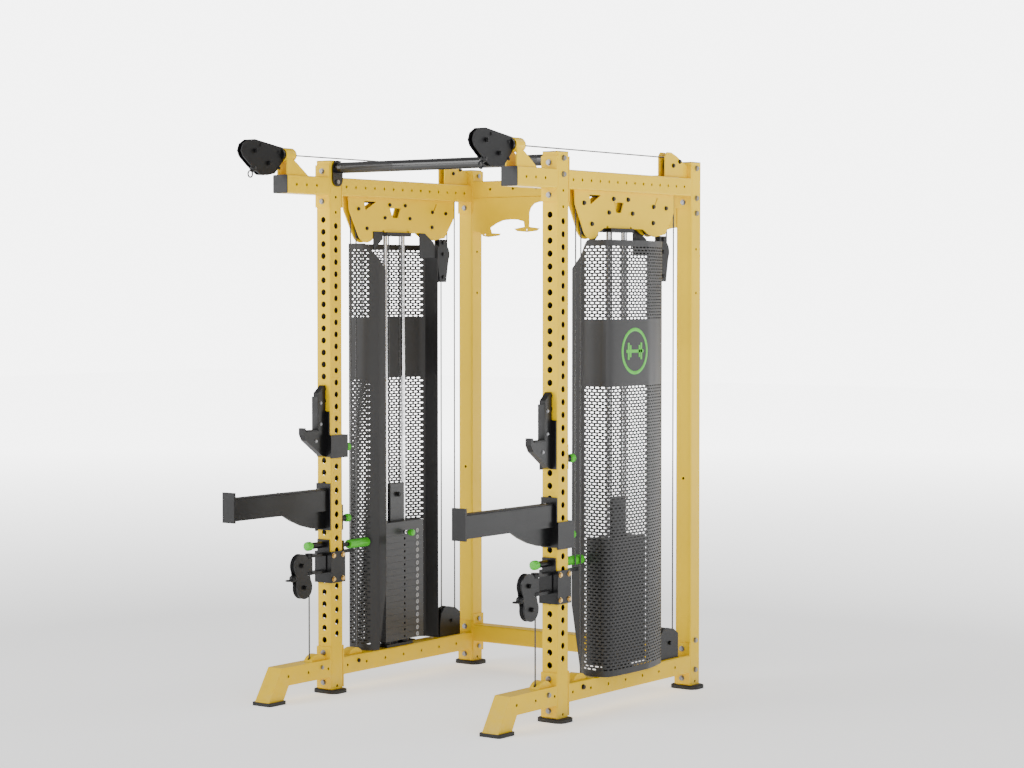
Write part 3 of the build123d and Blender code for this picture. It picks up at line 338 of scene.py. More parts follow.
def coated_cable(name):
    """Black nylon over twisted steel: the strands show faintly through the coat."""
    finish = Finish(name, coat=0.3)
    lay = (finish.axis("Z") * 900.0 + finish.axis("Y") * 900.0 + finish.axis("X") * 1400.0).sine()
    dust = finish.noise(30.0, 5.0).fade(0.5, 0.8)
    body = finish.mix(lay.fade(-0.6, 0.9), (0.012, 0.012, 0.013, 1), (0.035, 0.035, 0.037, 1))
    finish.set("Base Color", finish.mix(dust * 0.3, body, (0.06, 0.058, 0.055, 1)))
    finish.set("Roughness", dust * 0.2 + 0.25)
    finish.bump(lay, 0.25, 0.0004)
    return finish.material


FINISHES = {}


def make_finishes(colours):
    black = tuple(colours.plates)
    yellow = (tuple(colours.frame), 0.36, 520.0, 0.05, 0.35, 0.18)
    FINISHES.update(
        yellow_coat=powder_coat("frame powder coat", *yellow),
        # The uprights' coat carries painted shade on the inner tube walls.
        upright_coat=powder_coat("upright powder coat", *yellow, painted_shade_inside=True),
        black_coat=powder_coat("black powder coat", black, 0.34, 640.0, 0.08, 0.5),
        grey_sheet=powder_coat("shroud powder coat", tuple(colours.sheet), 0.42, 760.0, 0.04, 0.3),
        black_plastic=moulded("black caps", (0.008, 0.008, 0.0085), 0.45, 620.0),
        foot_rubber=moulded("foot rubber", (0.018, 0.018, 0.018), 0.7, 380.0),
        pulley_nylon=moulded("pulley nylon", (0.02, 0.02, 0.021), 0.38, 700.0),
        green_knob=moulded("green grips", tuple(colours.grip), 0.34, 820.0, 1.15),
        zinc_steel=two_bolts("bolt steel", (0.30, 0.30, 0.31), black),
        chromed_rod=bright_steel("chromed rods", (0.86, 0.86, 0.88), 0.06, (1, 1, 0.04), 0.1),
        stack_iron=cast_iron("stack weights", (0.016, 0.016, 0.017)),
        coated_cable=coated_cable("coated cable"),
        bar=knurled_bar("pull-up bar coat", black),
        brass=bright_steel("plated roller bolts", tuple(colours.brass), 0.22, (0.3, 1, 1)),
        badge=moulded("printed badge", tuple(colours.badge), 0.4, 900.0, 1.1),
        disc=moulded("number discs", (0.34, 0.34, 0.35), 0.5, 900.0, 1.1),
        figures=moulded("disc figures", (0.02, 0.02, 0.02), 0.5, 900.0, 1.1),
    )


# ---- modelling helpers ----
def start_clean():
    active = bpy.context.view_layer.objects.active
    if active and active.mode != "OBJECT":
        bpy.ops.object.mode_set(mode="OBJECT")
    bpy.ops.object.select_all(action="DESELECT")


def pick(piece):
    start_clean()
    piece.select_set(True)
    bpy.context.view_layer.objects.active = piece


def settle(piece, name):
    """Names a new piece and moves its place into its mesh."""
    piece.name = name
    piece.data.name = name
    pick(piece)
    bpy.ops.object.transform_apply(location=True, rotation=True, scale=True)
    return piece


def modify(piece, kind, **settings):
    """Adds a modifier and applies it."""
    pick(piece)
    bpy.ops.object.modifier_add(type=kind)
    modifier = piece.modifiers[-1]
    for key, value in settings.items():
        setattr(modifier, key, value)
    bpy.ops.object.modifier_apply(modifier=modifier.name)
    return piece


def smooth(piece, degrees=35):
    pick(piece)
    bpy.ops.object.shade_smooth_by_angle(angle=math.radians(degrees))
    return piece


FLUTE = 0.91


def turned(name, profile, at, way, sides=32, flutes=0, fluted=(0, 0)):
    """A round piece along way: profile lists (radius, distance), from its start to its end."""
    start_clean()
    bpy.ops.mesh.primitive_circle_add(vertices=sides, radius=profile[0][0], fill_type="NGON", location=(0, 0, 0))
    piece = bpy.context.object
    bpy.ops.object.mode_set(mode="EDIT")
    bpy.ops.mesh.select_all(action="SELECT")
    bpy.ops.transform.translate(value=(0, 0, profile[0][1]))
    for (r0, z0), (r1, z1) in zip(profile, profile[1:]):
        bpy.ops.mesh.extrude_region_move(TRANSFORM_OT_translate={"value": (0, 0, z1 - z0)})
        bpy.ops.transform.resize(value=(r1 / r0, r1 / r0, 1), center_override=(0, 0, z1))
    bpy.ops.mesh.select_all(action="SELECT")
    bpy.ops.mesh.normals_make_consistent(inside=False)
    bpy.ops.object.mode_set(mode="OBJECT")
    if flutes:
        step = sides // flutes
        for vertex in piece.data.vertices:
            turn = round(math.atan2(vertex.co.y, vertex.co.x) / math.tau * sides) % sides
            if fluted[0] <= vertex.co.z <= fluted[1] and turn % step == 0:
                vertex.co.x *= FLUTE
                vertex.co.y *= FLUTE
    piece.matrix_world = Matrix.Translation(at) @ Vector(way).to_track_quat("Z", "Y").to_matrix().to_4x4()
    return settle(piece, name)


def hexagon(name, radius, thick, at, way):
    """A hexagon head with chamfered corners, on a washer."""
    head = turned(name, [(radius, 0), (radius, thick * 0.86), (radius * 0.9, thick)], at, way, sides=6)
    rim = radius * 1.3
    washer = turned(name + "_washer", [(rim, 0), (rim, 0.0014), (radius * 1.22, 0.0018)], at, way, 28)
    return unite(name, [head, washer])


def slab(name, low, high, bevel=0.0015, segments=2):
    """A block between two corners, with rounded edges."""
    start_clean()
    lows = Vector(map(min, low, high))
    highs = Vector(map(max, low, high))
    bpy.ops.mesh.primitive_cube_add(size=1, location=(lows + highs) / 2, scale=highs - lows)
    piece = settle(bpy.context.object, name)
    modify(piece, "BEVEL", width=bevel, segments=segments, limit_method="ANGLE")
    return smooth(piece)


def unite(name, parts):
    start_clean()
    for part in parts:
        part.select_set(True)
    bpy.context.view_layer.objects.active = parts[0]
    if len(parts) > 1:
        bpy.ops.object.join()
    return settle(bpy.context.object, name)


def dress(piece, finish):
    piece.data.materials.clear()
    piece.data.materials.append(FINISHES[finish])
    return piece


def mount(piece, body, slot, finish=None):
    """Gives a piece its material, from finish or else from the slot's name when it has none, and puts it under its
    body.
    """
    if finish or not piece.data.materials:
        dress(piece, finish or slot)
    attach(piece, body)
    return piece


# ---- shrouds ----
SHROUD_PLAN = [
    (0.098, 0.258), (0.056, 0.262), (0.028, 0.241), (0.0, 0.228), (-0.038, 0.224), (-0.086, 0.226),
    (-0.098, 0.250), (-0.103, 0.300), (-0.105, 0.345), (-0.106, 0.403), (-0.106, 0.475), (-0.106, 0.512),
    (-0.090, 0.590), (-0.064, 0.680), (-0.040, 0.708), (0.0, 0.711), (0.030, 0.708),
]
SLOTS_FROM_FOLD = 2
SLOTS_TO_FOLD = 14
BADGE_FOLD = 9
BADGE_SHIFT = 0.006
BADGE_Z = 1.462
BADGE_LIFT = 0.0021
BADGE_RING = 0.088
BADGE_LINE = 0.0065
BADGE_PLATES = ((0.040, 0.052, 0.034), (0.027, 0.037, 0.024))
BADGE_BAR = (0.062, 0.006)
CUT_HIGH = ((0.016, 1.900), (0.098, 1.797))
CUT_LOW = ((0.066, 0.151), (0.098, 0.430))
FLANGE_BACK = 0.263
ROUNDING = 0.016


class Unrolled:
    """The folded sheet laid flat: a distance along it gives a place on the folds."""

    def __init__(self):
        self.points = [Vector(p) for p in SHROUD_PLAN]
        self.at = [0.0]
        for first, second in zip(self.points, self.points[1:]):
            self.at.append(self.at[-1] + (second - first).length)

    def on_line(self, distance):
        distance = min(max(distance, 0.0), self.at[-1])
        for n in range(len(self.at) - 1):
            if distance <= self.at[n + 1]:
                break
        share = (distance - self.at[n]) / (self.at[n + 1] - self.at[n])
        return self.points[n].lerp(self.points[n + 1], share)

    def place(self, distance, out=0.0):
        """Point of the sheet, rounded over the folds, and moved outwards."""
        before = self.on_line(distance - ROUNDING)
        after = self.on_line(distance + ROUNDING)
        point = self.on_line(distance)
        if self.at[1] + ROUNDING < distance < self.at[-1] - ROUNDING:
            point = point.lerp((before + after) / 2, 0.5)
        way = (after - before).normalized()
        return point + Vector((-way.y, way.x)) * out


def slot_cell(sizes):
    """One slot with the sheet round it, as (points, faces): an eight-sided ring drawn out to its cell."""
    start_clean()
    bpy.ops.mesh.primitive_circle_add(vertices=8, radius=1, fill_type="NOTHING", location=(0, 0, 0))
    ring = bpy.context.object
    bpy.ops.object.mode_set(mode="EDIT")
    bpy.ops.mesh.select_all(action="SELECT")
    bpy.ops.mesh.extrude_region_move(TRANSFORM_OT_translate={"value": (0, 0, 0)})
    bpy.ops.transform.resize(value=(2, 2, 1), center_override=(0, 0, 0))
    bpy.ops.object.mode_set(mode="OBJECT")
    points = []
    for vertex in ring.data.vertices:
        outer = vertex.co.length > 1.5
        flat = vertex.co.normalized()
        signs = [0 if abs(v) < 0.1 else math.copysign(1, v) for v in flat[:2]]
        if outer:
            half = (sizes.column_pitch / 2, sizes.row_pitch / 2)
            points.append((signs[0] * half[0], signs[1] * half[1]))
        else:
            ends = 1.0 if signs[1] == 0 else 0.78
            points.append((signs[0] * sizes.slot_length / 2 * ends, signs[1] * sizes.slot_height / 2))
    faces = [tuple(polygon.vertices) for polygon in ring.data.polygons]
    bpy.data.objects.remove(ring)
    return points, faces


def flat_sheet(sizes, low, high, unrolled):
    """The whole sheet laid flat, as points and faces: plain strips, plain band and rows of slots."""
    cell_points, cell_faces = slot_cell(sizes)
    half = sizes.column_pitch / 2
    first = unrolled.at[SLOTS_FROM_FOLD]
    columns = int((unrolled.at[SLOTS_TO_FOLD] - first) / sizes.column_pitch)
    last = first + columns * sizes.column_pitch
    left = [d for d in unrolled.at if d < first - 0.004] + [first]
    right = [last] + [d for d in unrolled.at if d > last + 0.004]
    middle = [first + n * half for n in range(2 * columns + 1)]
    points, faces, known = [], [], {}

    def index(x, z):
        key = (round(x, 5), round(z, 5))
        if key not in known:
            known[key] = len(points)
            points.append((x, z))
        return known[key]

    def face(corners):
        faces.append([index(x, z) for x, z in corners])

    def plain(xs, z0, z1, steps=1):
        for n in range(steps):
            a = z0 + (z1 - z0) * n / steps
            b = z0 + (z1 - z0) * (n + 1) / steps
            for x0, x1 in zip(xs, xs[1:]):
                face([(x0, a), (x1, a), (x1, b), (x0, b)])

    def slotted(z0, rows):
        for row in range(rows):
            a = z0 + row * sizes.row_pitch
            b = a + sizes.row_pitch
            centre = (a + b) / 2
            shifted = row % 2
            for strip, inner in ((left, left[-1]), (right, right[0])):
                for x0, x1 in zip(strip, strip[1:]):
                    corners = [(x0, a), (x1, a), (x1, b), (x0, b)]
                    if inner == x1 and not shifted:
                        corners.insert(2, (x1, centre))
                    if inner == x0 and not shifted:
                        corners.append((x0, centre))
                    face(corners)
            if shifted:
                face([(first, a), (first + half, a), (first + half, centre), (first + half, b), (first, b)])
                face([(last - half, a), (last, a), (last, b), (last - half, b), (last - half, centre)])
            for n in range(columns - shifted):
                x = first + half * (1 + shifted) + n * sizes.column_pitch
                for polygon in cell_faces:
                    face([(x + cell_points[k][0], centre + cell_points[k][1]) for k in polygon])

    everywhere = left[:-1] + middle + right[1:]
    z = low + sizes.margin
    plain(everywhere, low, z)
    rows = int((sizes.band_low - z) / sizes.row_pitch)
    slotted(z, rows)
    z += rows * sizes.row_pitch
    rows = int((high - sizes.margin - sizes.band_high) / sizes.row_pitch)
    top = high - sizes.margin - rows * sizes.row_pitch
    plain(everywhere, z, top, 4)
    slotted(top, rows)
    plain(everywhere, high - sizes.margin, high)
    return points, faces


def cut_corner(inn, back, z):
    """Height of a flange point after its two cut corners."""
    if back > FLANGE_BACK or inn < CUT_HIGH[0][0]:
        return z
    (inn0, z0), (inn1, z1) = CUT_HIGH
    z = min(z, z0 + (inn - inn0) * (z1 - z0) / (inn1 - inn0))
    (inn0, z0), (inn1, z1) = CUT_LOW
    if inn > inn0:
        z = max(z, z0 + (inn - inn0) * (z1 - z0) / (inn1 - inn0))
    return z


def shroud_sheet(name, side, sizes, low, high):
    unrolled = Unrolled()
    points, faces = flat_sheet(sizes, low, high, unrolled)
    folded = []
    for distance, z in points:
        inn, back = unrolled.place(distance, sizes.thickness / 2)
        folded.append(spot(side, inn, back, cut_corner(inn, back, z)))
    mesh = bpy.data.meshes.new(name)
    mesh.from_pydata(folded, [], faces)
    piece = bpy.data.objects.new(name, mesh)
    bpy.context.scene.collection.objects.link(piece)
    pick(piece)
    bpy.ops.object.mode_set(mode="EDIT")
    bpy.ops.mesh.select_all(action="SELECT")
    bpy.ops.mesh.remove_doubles(threshold=0.00002)
    bpy.ops.mesh.dissolve_degenerate(threshold=0.00002)
    bpy.ops.mesh.select_all(action="SELECT")
    bpy.ops.mesh.normals_make_consistent(inside=False)
    bpy.ops.object.mode_set(mode="OBJECT")
    modify(piece, "SOLIDIFY", thickness=sizes.thickness, offset=0)
    return smooth(piece, 28)


def badge(name, side, unrolled):
    """A plain lifter's badge: a ring with a barbell across it, laid on the sheet."""
    middle = unrolled.at[BADGE_FOLD] + BADGE_SHIFT
    start_clean()
    bpy.ops.mesh.primitive_torus_add(
        major_segments=64, minor_segments=6, major_radius=BADGE_RING, minor_radius=BADGE_LINE, location=(0, 0, 0)
    )
    parts = [settle(bpy.context.object, name + "_ring")]
    reach, bar_half = BADGE_BAR
    bars = [(-reach, reach, bar_half)]
    for near, far, half_height in BADGE_PLATES:
        bars += [(-far, -near, half_height), (near, far, half_height)]
    for n, (x0, x1, half_height) in enumerate(bars):
        start_clean()
        bpy.ops.mesh.primitive_cube_add(
            size=1, location=((x0 + x1) / 2, 0, 0), scale=(x1 - x0, 2 * half_height, 0.001)
        )
        bar = settle(bpy.context.object, f"{name}_bar{n}")
        bpy.ops.object.mode_set(mode="EDIT")
        bpy.ops.mesh.select_all(action="SELECT")
        bpy.ops.mesh.subdivide(number_cuts=5)
        bpy.ops.object.mode_set(mode="OBJECT")
        parts.append(bar)
    piece = unite(name, parts)
    for vertex in piece.data.vertices:
        lift = BADGE_LIFT + max(-0.0004, min(0.0006, vertex.co.z))
        inn, back = unrolled.place(middle + side * vertex.co.x, lift)
        vertex.co = spot(side, inn, back, BADGE_Z + vertex.co.y)
    bpy.ops.object.mode_set(mode="EDIT")
    bpy.ops.mesh.select_all(action="SELECT")
    bpy.ops.mesh.normals_make_consistent(inside=False)
    bpy.ops.object.mode_set(mode="OBJECT")
    return smooth(piece, 40)


class CAGE_OT_shrouds(bpy.types.Operator):
    """Fold the two slotted sheet shrouds and lay their badges on them"""

    bl_idname = "cage.shrouds"
    bl_label = "Sheet shrouds"

    def execute(self, context):
        sizes = context.scene.cage_sheet
        for name, side in SIDES.items():
            low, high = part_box(f"shroud_{name}")
            sheet = shroud_sheet(f"shroud_sheet_{name}", side, sizes, low.z, high.z)
            mount(sheet, "root", "grey_sheet")
            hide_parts(f"shroud_{name}")
            mount(badge(f"shroud_badge_{name}", side, Unrolled()), "root", "grey_sheet", "badge")
        return {"FINISHED"}


# ---- knobs and pins ----
PULL_KNOB_DEPTH = 0.030
CARRIAGE_KNOB_DEPTH = 0.0355
SELECTOR_KNOB_DEPTH = 0.028
SELECTOR_KNOB_RADIUS = 0.014
SELECTOR_INN = 0.080
COLLAR_INN = 0.0597
PULL_PIN_RADIUS = 0.007
SELECTOR_RADIUS = 0.005


def fluted_knob(name, at, way, radius, depth, flutes, stem, stem_length):
    """A knob with flutes and a domed end, on a steel pin."""
    knob = turned(
        name + "_knob",
        [
            (radius * 0.62, 0), (radius * 0.66, depth * 0.06), (radius * 0.66, depth * 0.16),
            (radius * 0.93, depth * 0.22), (radius, depth * 0.32), (radius, depth * 0.82),
            (radius * 0.94, depth * 0.93), (radius * 0.78, depth * 0.985), (radius * 0.35, depth),
            (radius * 0.1, depth),
        ],
        at, way, sides=flutes * 4, flutes=flutes, fluted=(depth * 0.2, depth * 0.95),
    )
    smooth(dress(knob, "green_knob"), 42)
    pin = turned(
        name + "_stem",
        [(stem * 0.8, -stem_length), (stem, -stem_length + stem * 0.25), (stem, depth * 0.1)],
        at, way, sides=28,
    )
    smooth(dress(pin, "chromed_rod"), 30)
    return unite(name, [knob, pin])


class CAGE_OT_knobs(bpy.types.Operator):
    """Make the fluted knobs of the pull pins and of the weight selectors"""

    bl_idname = "cage.knobs"
    bl_label = "Knobs and pins"

    def execute(self, context):
        flutes = context.scene.cage_fittings.flutes
        for name, side in SIDES.items():
            for pin in ("jcup_pin", "spotter_pin"):
                self.pull_pin(f"{pin}_{name}", f"{pin}_knob_{name}", 1, PULL_KNOB_DEPTH, flutes)
            self.pull_pin(f"carriage_pin_{name}", f"carriage_knob_{name}", -1, CARRIAGE_KNOB_DEPTH, flutes)
            self.selector(name, side, flutes)
        return {"FINISHED"}

    def pull_pin(self, node, label, way, depth, flutes):
        """A pull pin along Y with its knob behind (way 1) or in front (way -1)."""
        low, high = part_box(node)
        middle = (low + high) / 2
        back = high.y - depth if way > 0 else low.y + depth
        radius = (high.z - low.z) / 2
        stem = high.y - low.y - depth
        at = (middle.x, back, middle.z)
        knob = fluted_knob(label, at, (0, way, 0), radius, depth, flutes, PULL_PIN_RADIUS, stem)
        mount(knob, node, "green_knob")
        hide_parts(node)

    def selector(self, name, side, flutes):
        node = f"selector_pin_{name}"
        low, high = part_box(node)
        middle = (low + high) / 2
        inner = across(side, SELECTOR_INN)
        knob = fluted_knob(
            f"selector_knob_{name}", (inner, middle.y, middle.z), (-side, 0, 0), SELECTOR_KNOB_RADIUS,
            SELECTOR_KNOB_DEPTH, flutes, SELECTOR_RADIUS, abs(inner - (high.x if side > 0 else low.x)),
        )
        collar = turned(
            f"selector_collar_{name}", [(0.0075, 0), (0.008, 0.0005), (0.008, 0.0055), (0.0075, 0.006)],
            spot(side, COLLAR_INN, middle.y - FRONT_Y, middle.z), (-side, 0, 0), 24,
        )
        dress(smooth(collar, 30), "chromed_rod")
        knob = unite(f"selector_knob_{name}", [knob, collar])
        mount(knob, node, "green_knob")
        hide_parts(node)


# ---- cables ----
class Wheel(NamedTuple):
    """A pulley along X: its axle behind the front uprights and above the floor, and its cable's circle."""

    back: float
    z: float
    reach: float

    @property
    def front(self):
        return self.back - self.reach

    @property
    def rear(self):
        return self.back + self.reach

    @property
    def top(self):
        return self.z + self.reach


TOP_PULLEY = Wheel(0.8355, 2.233, 0.0335)
REAR_BASE_PULLEY = Wheel(0.820, 0.215, 0.049)
ANCHOR_PULLEY = Wheel(0.170, 2.057, 0.030)
FRONT_RAIL_PULLEY = Wheel(0.226, 1.9745, 0.049)
STACK_FRONT_PULLEY = Wheel(0.3486, 2.023, 0.049)
STACK_BACK_PULLEY = Wheel(0.522, 2.023, 0.049)
REAR_RAIL_PULLEY = Wheel(0.679, 1.988, 0.049)
BLOCK_RAIL_PULLEY = Wheel(0.7787, 2.0517, 0.0353)
FLOAT_PULLEY = Wheel(0.771, 1.870, 0.043)
HEAD_PULLEY = Wheel(0.4353, 0.815, 0.0377)
ARM_PULLEY_BACK = Wheel(-0.391, 2.2285, 0.038)
CARRIAGE_PULLEY_LOW = Wheel(-0.178, 0.464, 0.042)
BASE_FRONT_PULLEY = Wheel(-0.100, 0.121, 0.036)
BASE_BACK_PULLEY = Wheel(0.141, 0.121, 0.036)
ARM_STOP = Wheel(-0.474, 2.205, 0.015)
CARRIAGE_STOP = Wheel(-0.238, 0.506, 0.016)
HANDOVER_HIGH = 2.0
HANDOVER_FLOAT = 1.975
HANDOVER_LOW = 0.2
HANDOVER_BLOCK = 0.3
FLOAT_LOW_Z = 1.745
CARRIAGE_ANCHOR_Z = 0.600
STOP_GAP = 0.0006
SPIGOT_BACK = -0.312
JOINT_GAP = 0.0004


def bend(wheel, start, end, steps=14):
    """Points on a pulley's cable circle, angles in degrees from the rear, upwards."""
    turns = [math.radians(start + (end - start) * n / steps) for n in range(steps + 1)]
    return [(wheel.back + wheel.reach * math.cos(t), wheel.z + wheel.reach * math.sin(t)) for t in turns]


def tangent_turn(first, second):
    """Angle of the line that lies over two equal pulleys."""
    return math.degrees(math.atan2(second.z - first.z, second.back - first.back))


def cable_run(name, side, points, radius, pieces=1):
    """A length of cable through (back, height) points, made round by a curve's bevel."""
    dense = []
    for first, second in zip(points, points[1:]):
        for n in range(pieces):
            share = n / pieces
            dense.append(Vector(first).lerp(Vector(second), share))
    dense.append(Vector(points[-1]))
    data = bpy.data.curves.new(name, "CURVE")
    data.dimensions = "3D"
    data.bevel_depth = radius
    data.bevel_resolution = 3
    data.use_fill_caps = True
    spline = data.splines.new("POLY")
    spline.points.add(len(dense) - 1)
    for point, (back, z) in zip(spline.points, dense):
        point.co = (*spot(side, 0.0, back, z), 1)
    piece = bpy.data.objects.new(name, data)
    bpy.context.scene.collection.objects.link(piece)
    pick(piece)
    bpy.ops.object.convert(target="MESH")
    piece = settle(bpy.context.object, name)
    return smooth(piece, 60)


class CAGE_OT_cables(bpy.types.Operator):
    """Lay the two cables of each side, cut where they pass from one moving part to the next"""

    bl_idname = "cage.cables"
    bl_label = "Cables"

    def execute(self, context):
        radius = context.scene.cage_fittings.cable_radius
        for name, side in SIDES.items():
            self.fixed_runs(name, side, radius)
            self.moving_runs(name, side, radius)
            self.carried_arcs(name, side, radius)
        return {"FINISHED"}

    def fixed_runs(self, name, side, radius):
        to_stack = tangent_turn(FRONT_RAIL_PULLEY, STACK_FRONT_PULLEY)
        to_rear = tangent_turn(STACK_BACK_PULLEY, REAR_RAIL_PULLEY)
        runs = [
            [(ANCHOR_PULLEY.front, HANDOVER_HIGH), *bend(ANCHOR_PULLEY, 180, 90), *bend(BLOCK_RAIL_PULLEY, 90, 0),
             (FLOAT_PULLEY.rear, HANDOVER_HIGH)],
            [(FLOAT_PULLEY.front, HANDOVER_FLOAT), *bend(REAR_RAIL_PULLEY, 0, 90 + to_rear),
             *bend(STACK_BACK_PULLEY, 90 + to_rear, 180), (HEAD_PULLEY.rear, HANDOVER_HIGH)],
            [(HEAD_PULLEY.front, HANDOVER_HIGH), *bend(STACK_FRONT_PULLEY, 0, 90 + to_stack),
             *bend(FRONT_RAIL_PULLEY, 90 + to_stack, 180), *bend(BASE_BACK_PULLEY, 0, -90),
             *bend(BASE_FRONT_PULLEY, 270, 180), (BASE_FRONT_PULLEY.front, HANDOVER_LOW)],
            [(SPIGOT_BACK + JOINT_GAP, ARM_PULLEY_BACK.top), *bend(TOP_PULLEY, 90, 0),
             *bend(REAR_BASE_PULLEY, 0, -180), (FLOAT_PULLEY.back, HANDOVER_BLOCK)],
        ]
        parts = [cable_run(f"cable_fixed_{name}_{n}", side, run, radius) for n, run in enumerate(runs)]
        piece = unite(f"cable_fixed_{name}", parts)
        mount(piece, "root", "coated_cable")
        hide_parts(f"cables_{name}")

    def moving_runs(self, name, side, radius):
        """Straight lengths between the frame and a moving part, made at rest and not attached to the moving part.
        """
        swivel_z = CARRIAGE_PULLEY_LOW.z - JOINT_GAP
        lines = [
            ("cable_to_float_front", FLOAT_PULLEY.front, HANDOVER_FLOAT, FLOAT_PULLEY.z, "floating_block"),
            ("cable_to_float_back", FLOAT_PULLEY.rear, HANDOVER_HIGH, FLOAT_PULLEY.z, "floating_block"),
            ("cable_under_float", FLOAT_PULLEY.back, HANDOVER_BLOCK, FLOAT_LOW_Z - STOP_GAP, "floating_block"),
            ("cable_to_head_front", HEAD_PULLEY.front, HANDOVER_HIGH, HEAD_PULLEY.z, "stack_head"),
            ("cable_to_head_back", HEAD_PULLEY.rear, HANDOVER_HIGH, HEAD_PULLEY.z, "stack_head"),
            ("cable_to_anchor", ANCHOR_PULLEY.front, HANDOVER_HIGH, CARRIAGE_ANCHOR_Z + STOP_GAP, "carriage"),
            ("cable_to_swivel", BASE_FRONT_PULLEY.front, HANDOVER_LOW, swivel_z, "carriage"),
        ]
        for label, back, z0, z1, body in lines:
            piece = cable_run(f"{label}_{name}", side, [(back, z0), (back, z1)], radius, pieces=24)
            dress(piece, "coated_cable")
            start, end = spot(side, 0, back, z0), spot(side, 0, back, z1)
            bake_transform(piece)

    def carried_arcs(self, name, side, radius):
        """Lengths that stay on a moving pulley."""
        run = ARM_PULLEY_BACK.back - ARM_STOP.back
        rise = ARM_PULLEY_BACK.z - ARM_STOP.z
        angle = math.atan2(rise, run) + math.asin(ARM_PULLEY_BACK.reach / math.hypot(run, rise))
        start = (
            ARM_STOP.back + ARM_STOP.reach * math.cos(angle),
            ARM_STOP.z + ARM_STOP.reach * math.sin(angle),
        )
        over_arm = [start, *bend(ARM_PULLEY_BACK, 90 + math.degrees(angle), 90), (SPIGOT_BACK, ARM_PULLEY_BACK.top)]
        over_swivel = [*bend(CARRIAGE_PULLEY_LOW, 0, 90), (CARRIAGE_STOP.rear, CARRIAGE_STOP.z)]
        arcs = [
            ("cable_float_arc", bend(FLOAT_PULLEY, 0, -180), "floating_block"),
            ("cable_head_arc", bend(HEAD_PULLEY, 0, -180), "stack_head"),
            ("cable_swivel_arc", over_swivel, "carriage_swivel"),
            ("cable_arm_arc", over_arm, "arm_swivel"),
        ]
        for label, points, body in arcs:
            mount(cable_run(f"{label}_{name}", side, points, radius), f"{body}_{name}", "coated_cable")


# ---- number discs on the weights ----
PLATES = 17
PLATE_PITCH = 0.0286
FIRST_PLATE_Z = 0.1936
DISC_BACK = 0.524
PLATE_FACE = 0.0575


def numbered_disc(name, side, number, sizes):
    """A small disc with its figure, on the inner face of one weight."""
    height = FIRST_PLATE_Z + (PLATES - number) * PLATE_PITCH
    radius = sizes.disc_radius
    at = spot(side, PLATE_FACE - 0.0002, DISC_BACK, height)
    profile = [
        (radius, 0), (radius, 0.0009), (radius * 0.93, 0.0014), (radius * 0.88, 0.0014), (radius * 0.86, 0.0011),
    ]
    disc = turned(name, profile, at, (-side, 0, 0), 32)
    dress(smooth(disc, 30), "disc")
    start_clean()
    bpy.ops.object.text_add(location=(0, 0, 0))
    text = bpy.context.object
    text.data.body = str(number)
    text.data.size = sizes.digit_size
    text.data.align_x = "CENTER"
    text.data.align_y = "CENTER"
    text.data.extrude = 0.0002
    text.data.resolution_u = 3
    bpy.ops.object.convert(target="MESH")
    text = bpy.context.object
    turn = Matrix(((0, 0, -side), (-side, 0, 0), (0, 1, 0))).to_4x4()
    text.matrix_world = Matrix.Translation(spot(side, PLATE_FACE + 0.0011, DISC_BACK, height)) @ turn
    text = settle(text, name + "_figure")
    dress(text, "figures")
    return unite(name, [disc, text])


class CAGE_OT_numbers(bpy.types.Operator):
    """Number the weights from the top of the stack"""

    bl_idname = "cage.numbers"
    bl_label = "Weight numbers"

    def execute(self, context):
        sizes = context.scene.cage_fittings
        for name, side in SIDES.items():
            first = numbered_disc(f"weight_number_1_{name}", side, 1, sizes)
            mount(first, f"stack_head_{name}", "stack_iron")
            others = [numbered_disc(f"weight_number_{n}_{name}", side, n, sizes) for n in range(2, PLATES + 1)]
            mount(unite(f"weight_numbers_{name}", others), "root", "stack_iron")
        return {"FINISHED"}


# ---- fittings on the moving parts ----
CARRIAGE_ROLLERS = [(back, z) for back in (-0.030, 0.030) for z in (0.488, 0.588)]
GRIP_PLACE = (0.024, 0.090, 0.625)
GRIP_PROFILE = [
    (0.0182, 0), (0.0192, 0.003), (0.0194, 0.008), (0.0180, 0.013), (0.0180, 0.026), (0.0190, 0.036),
    (0.0183, 0.050), (0.0191, 0.064), (0.0184, 0.078), (0.0192, 0.094), (0.0185, 0.108),
    (0.0194, 0.120), (0.0180, 0.1268), (0.0120, 0.1280), (0.0010, 0.1280),
]
JCUP_LINER_HALF = 0.017
JCUP_BOLTS = [(-0.074, 1.145), (-0.074, 1.235), (-0.105, 1.075)]
SPOTTER_STRIP_HALF = 0.0235
SPOTTER_STRIP_TOP = 0.869
SPOTTER_BOLTS_BACK = (-0.590, -0.330, -0.070)
SWIVEL_AXLES = [(-0.178, 0.464), (-0.195, 0.558)]
ARM_AXLES = [(-0.472, 2.275), (-0.391, 2.2285)]
ARM_RIM_BOLTS = [(-0.330, 2.275), (-0.330, 2.210), (-0.440, 2.300)]
HEAD_AXLE = [(HEAD_PULLEY.back, HEAD_PULLEY.z)]
FLOAT_BOLTS = [(FLOAT_PULLEY.back, z) for z in (FLOAT_PULLEY.z, 1.768, 1.922)]


def bolts_through(label, side, places, face, radius, thick):
    """Hexagon heads on both side faces of a part: places lists (back, height)."""
    heads = []
    for way in (1, -1):
        for n, (back, z) in enumerate(places):
            at = spot(side, -way * face, back, z)
            heads.append(hexagon(f"{label}_{way}_{n}", radius, thick, at, (way * side, 0, 0)))
    return unite(label, heads)


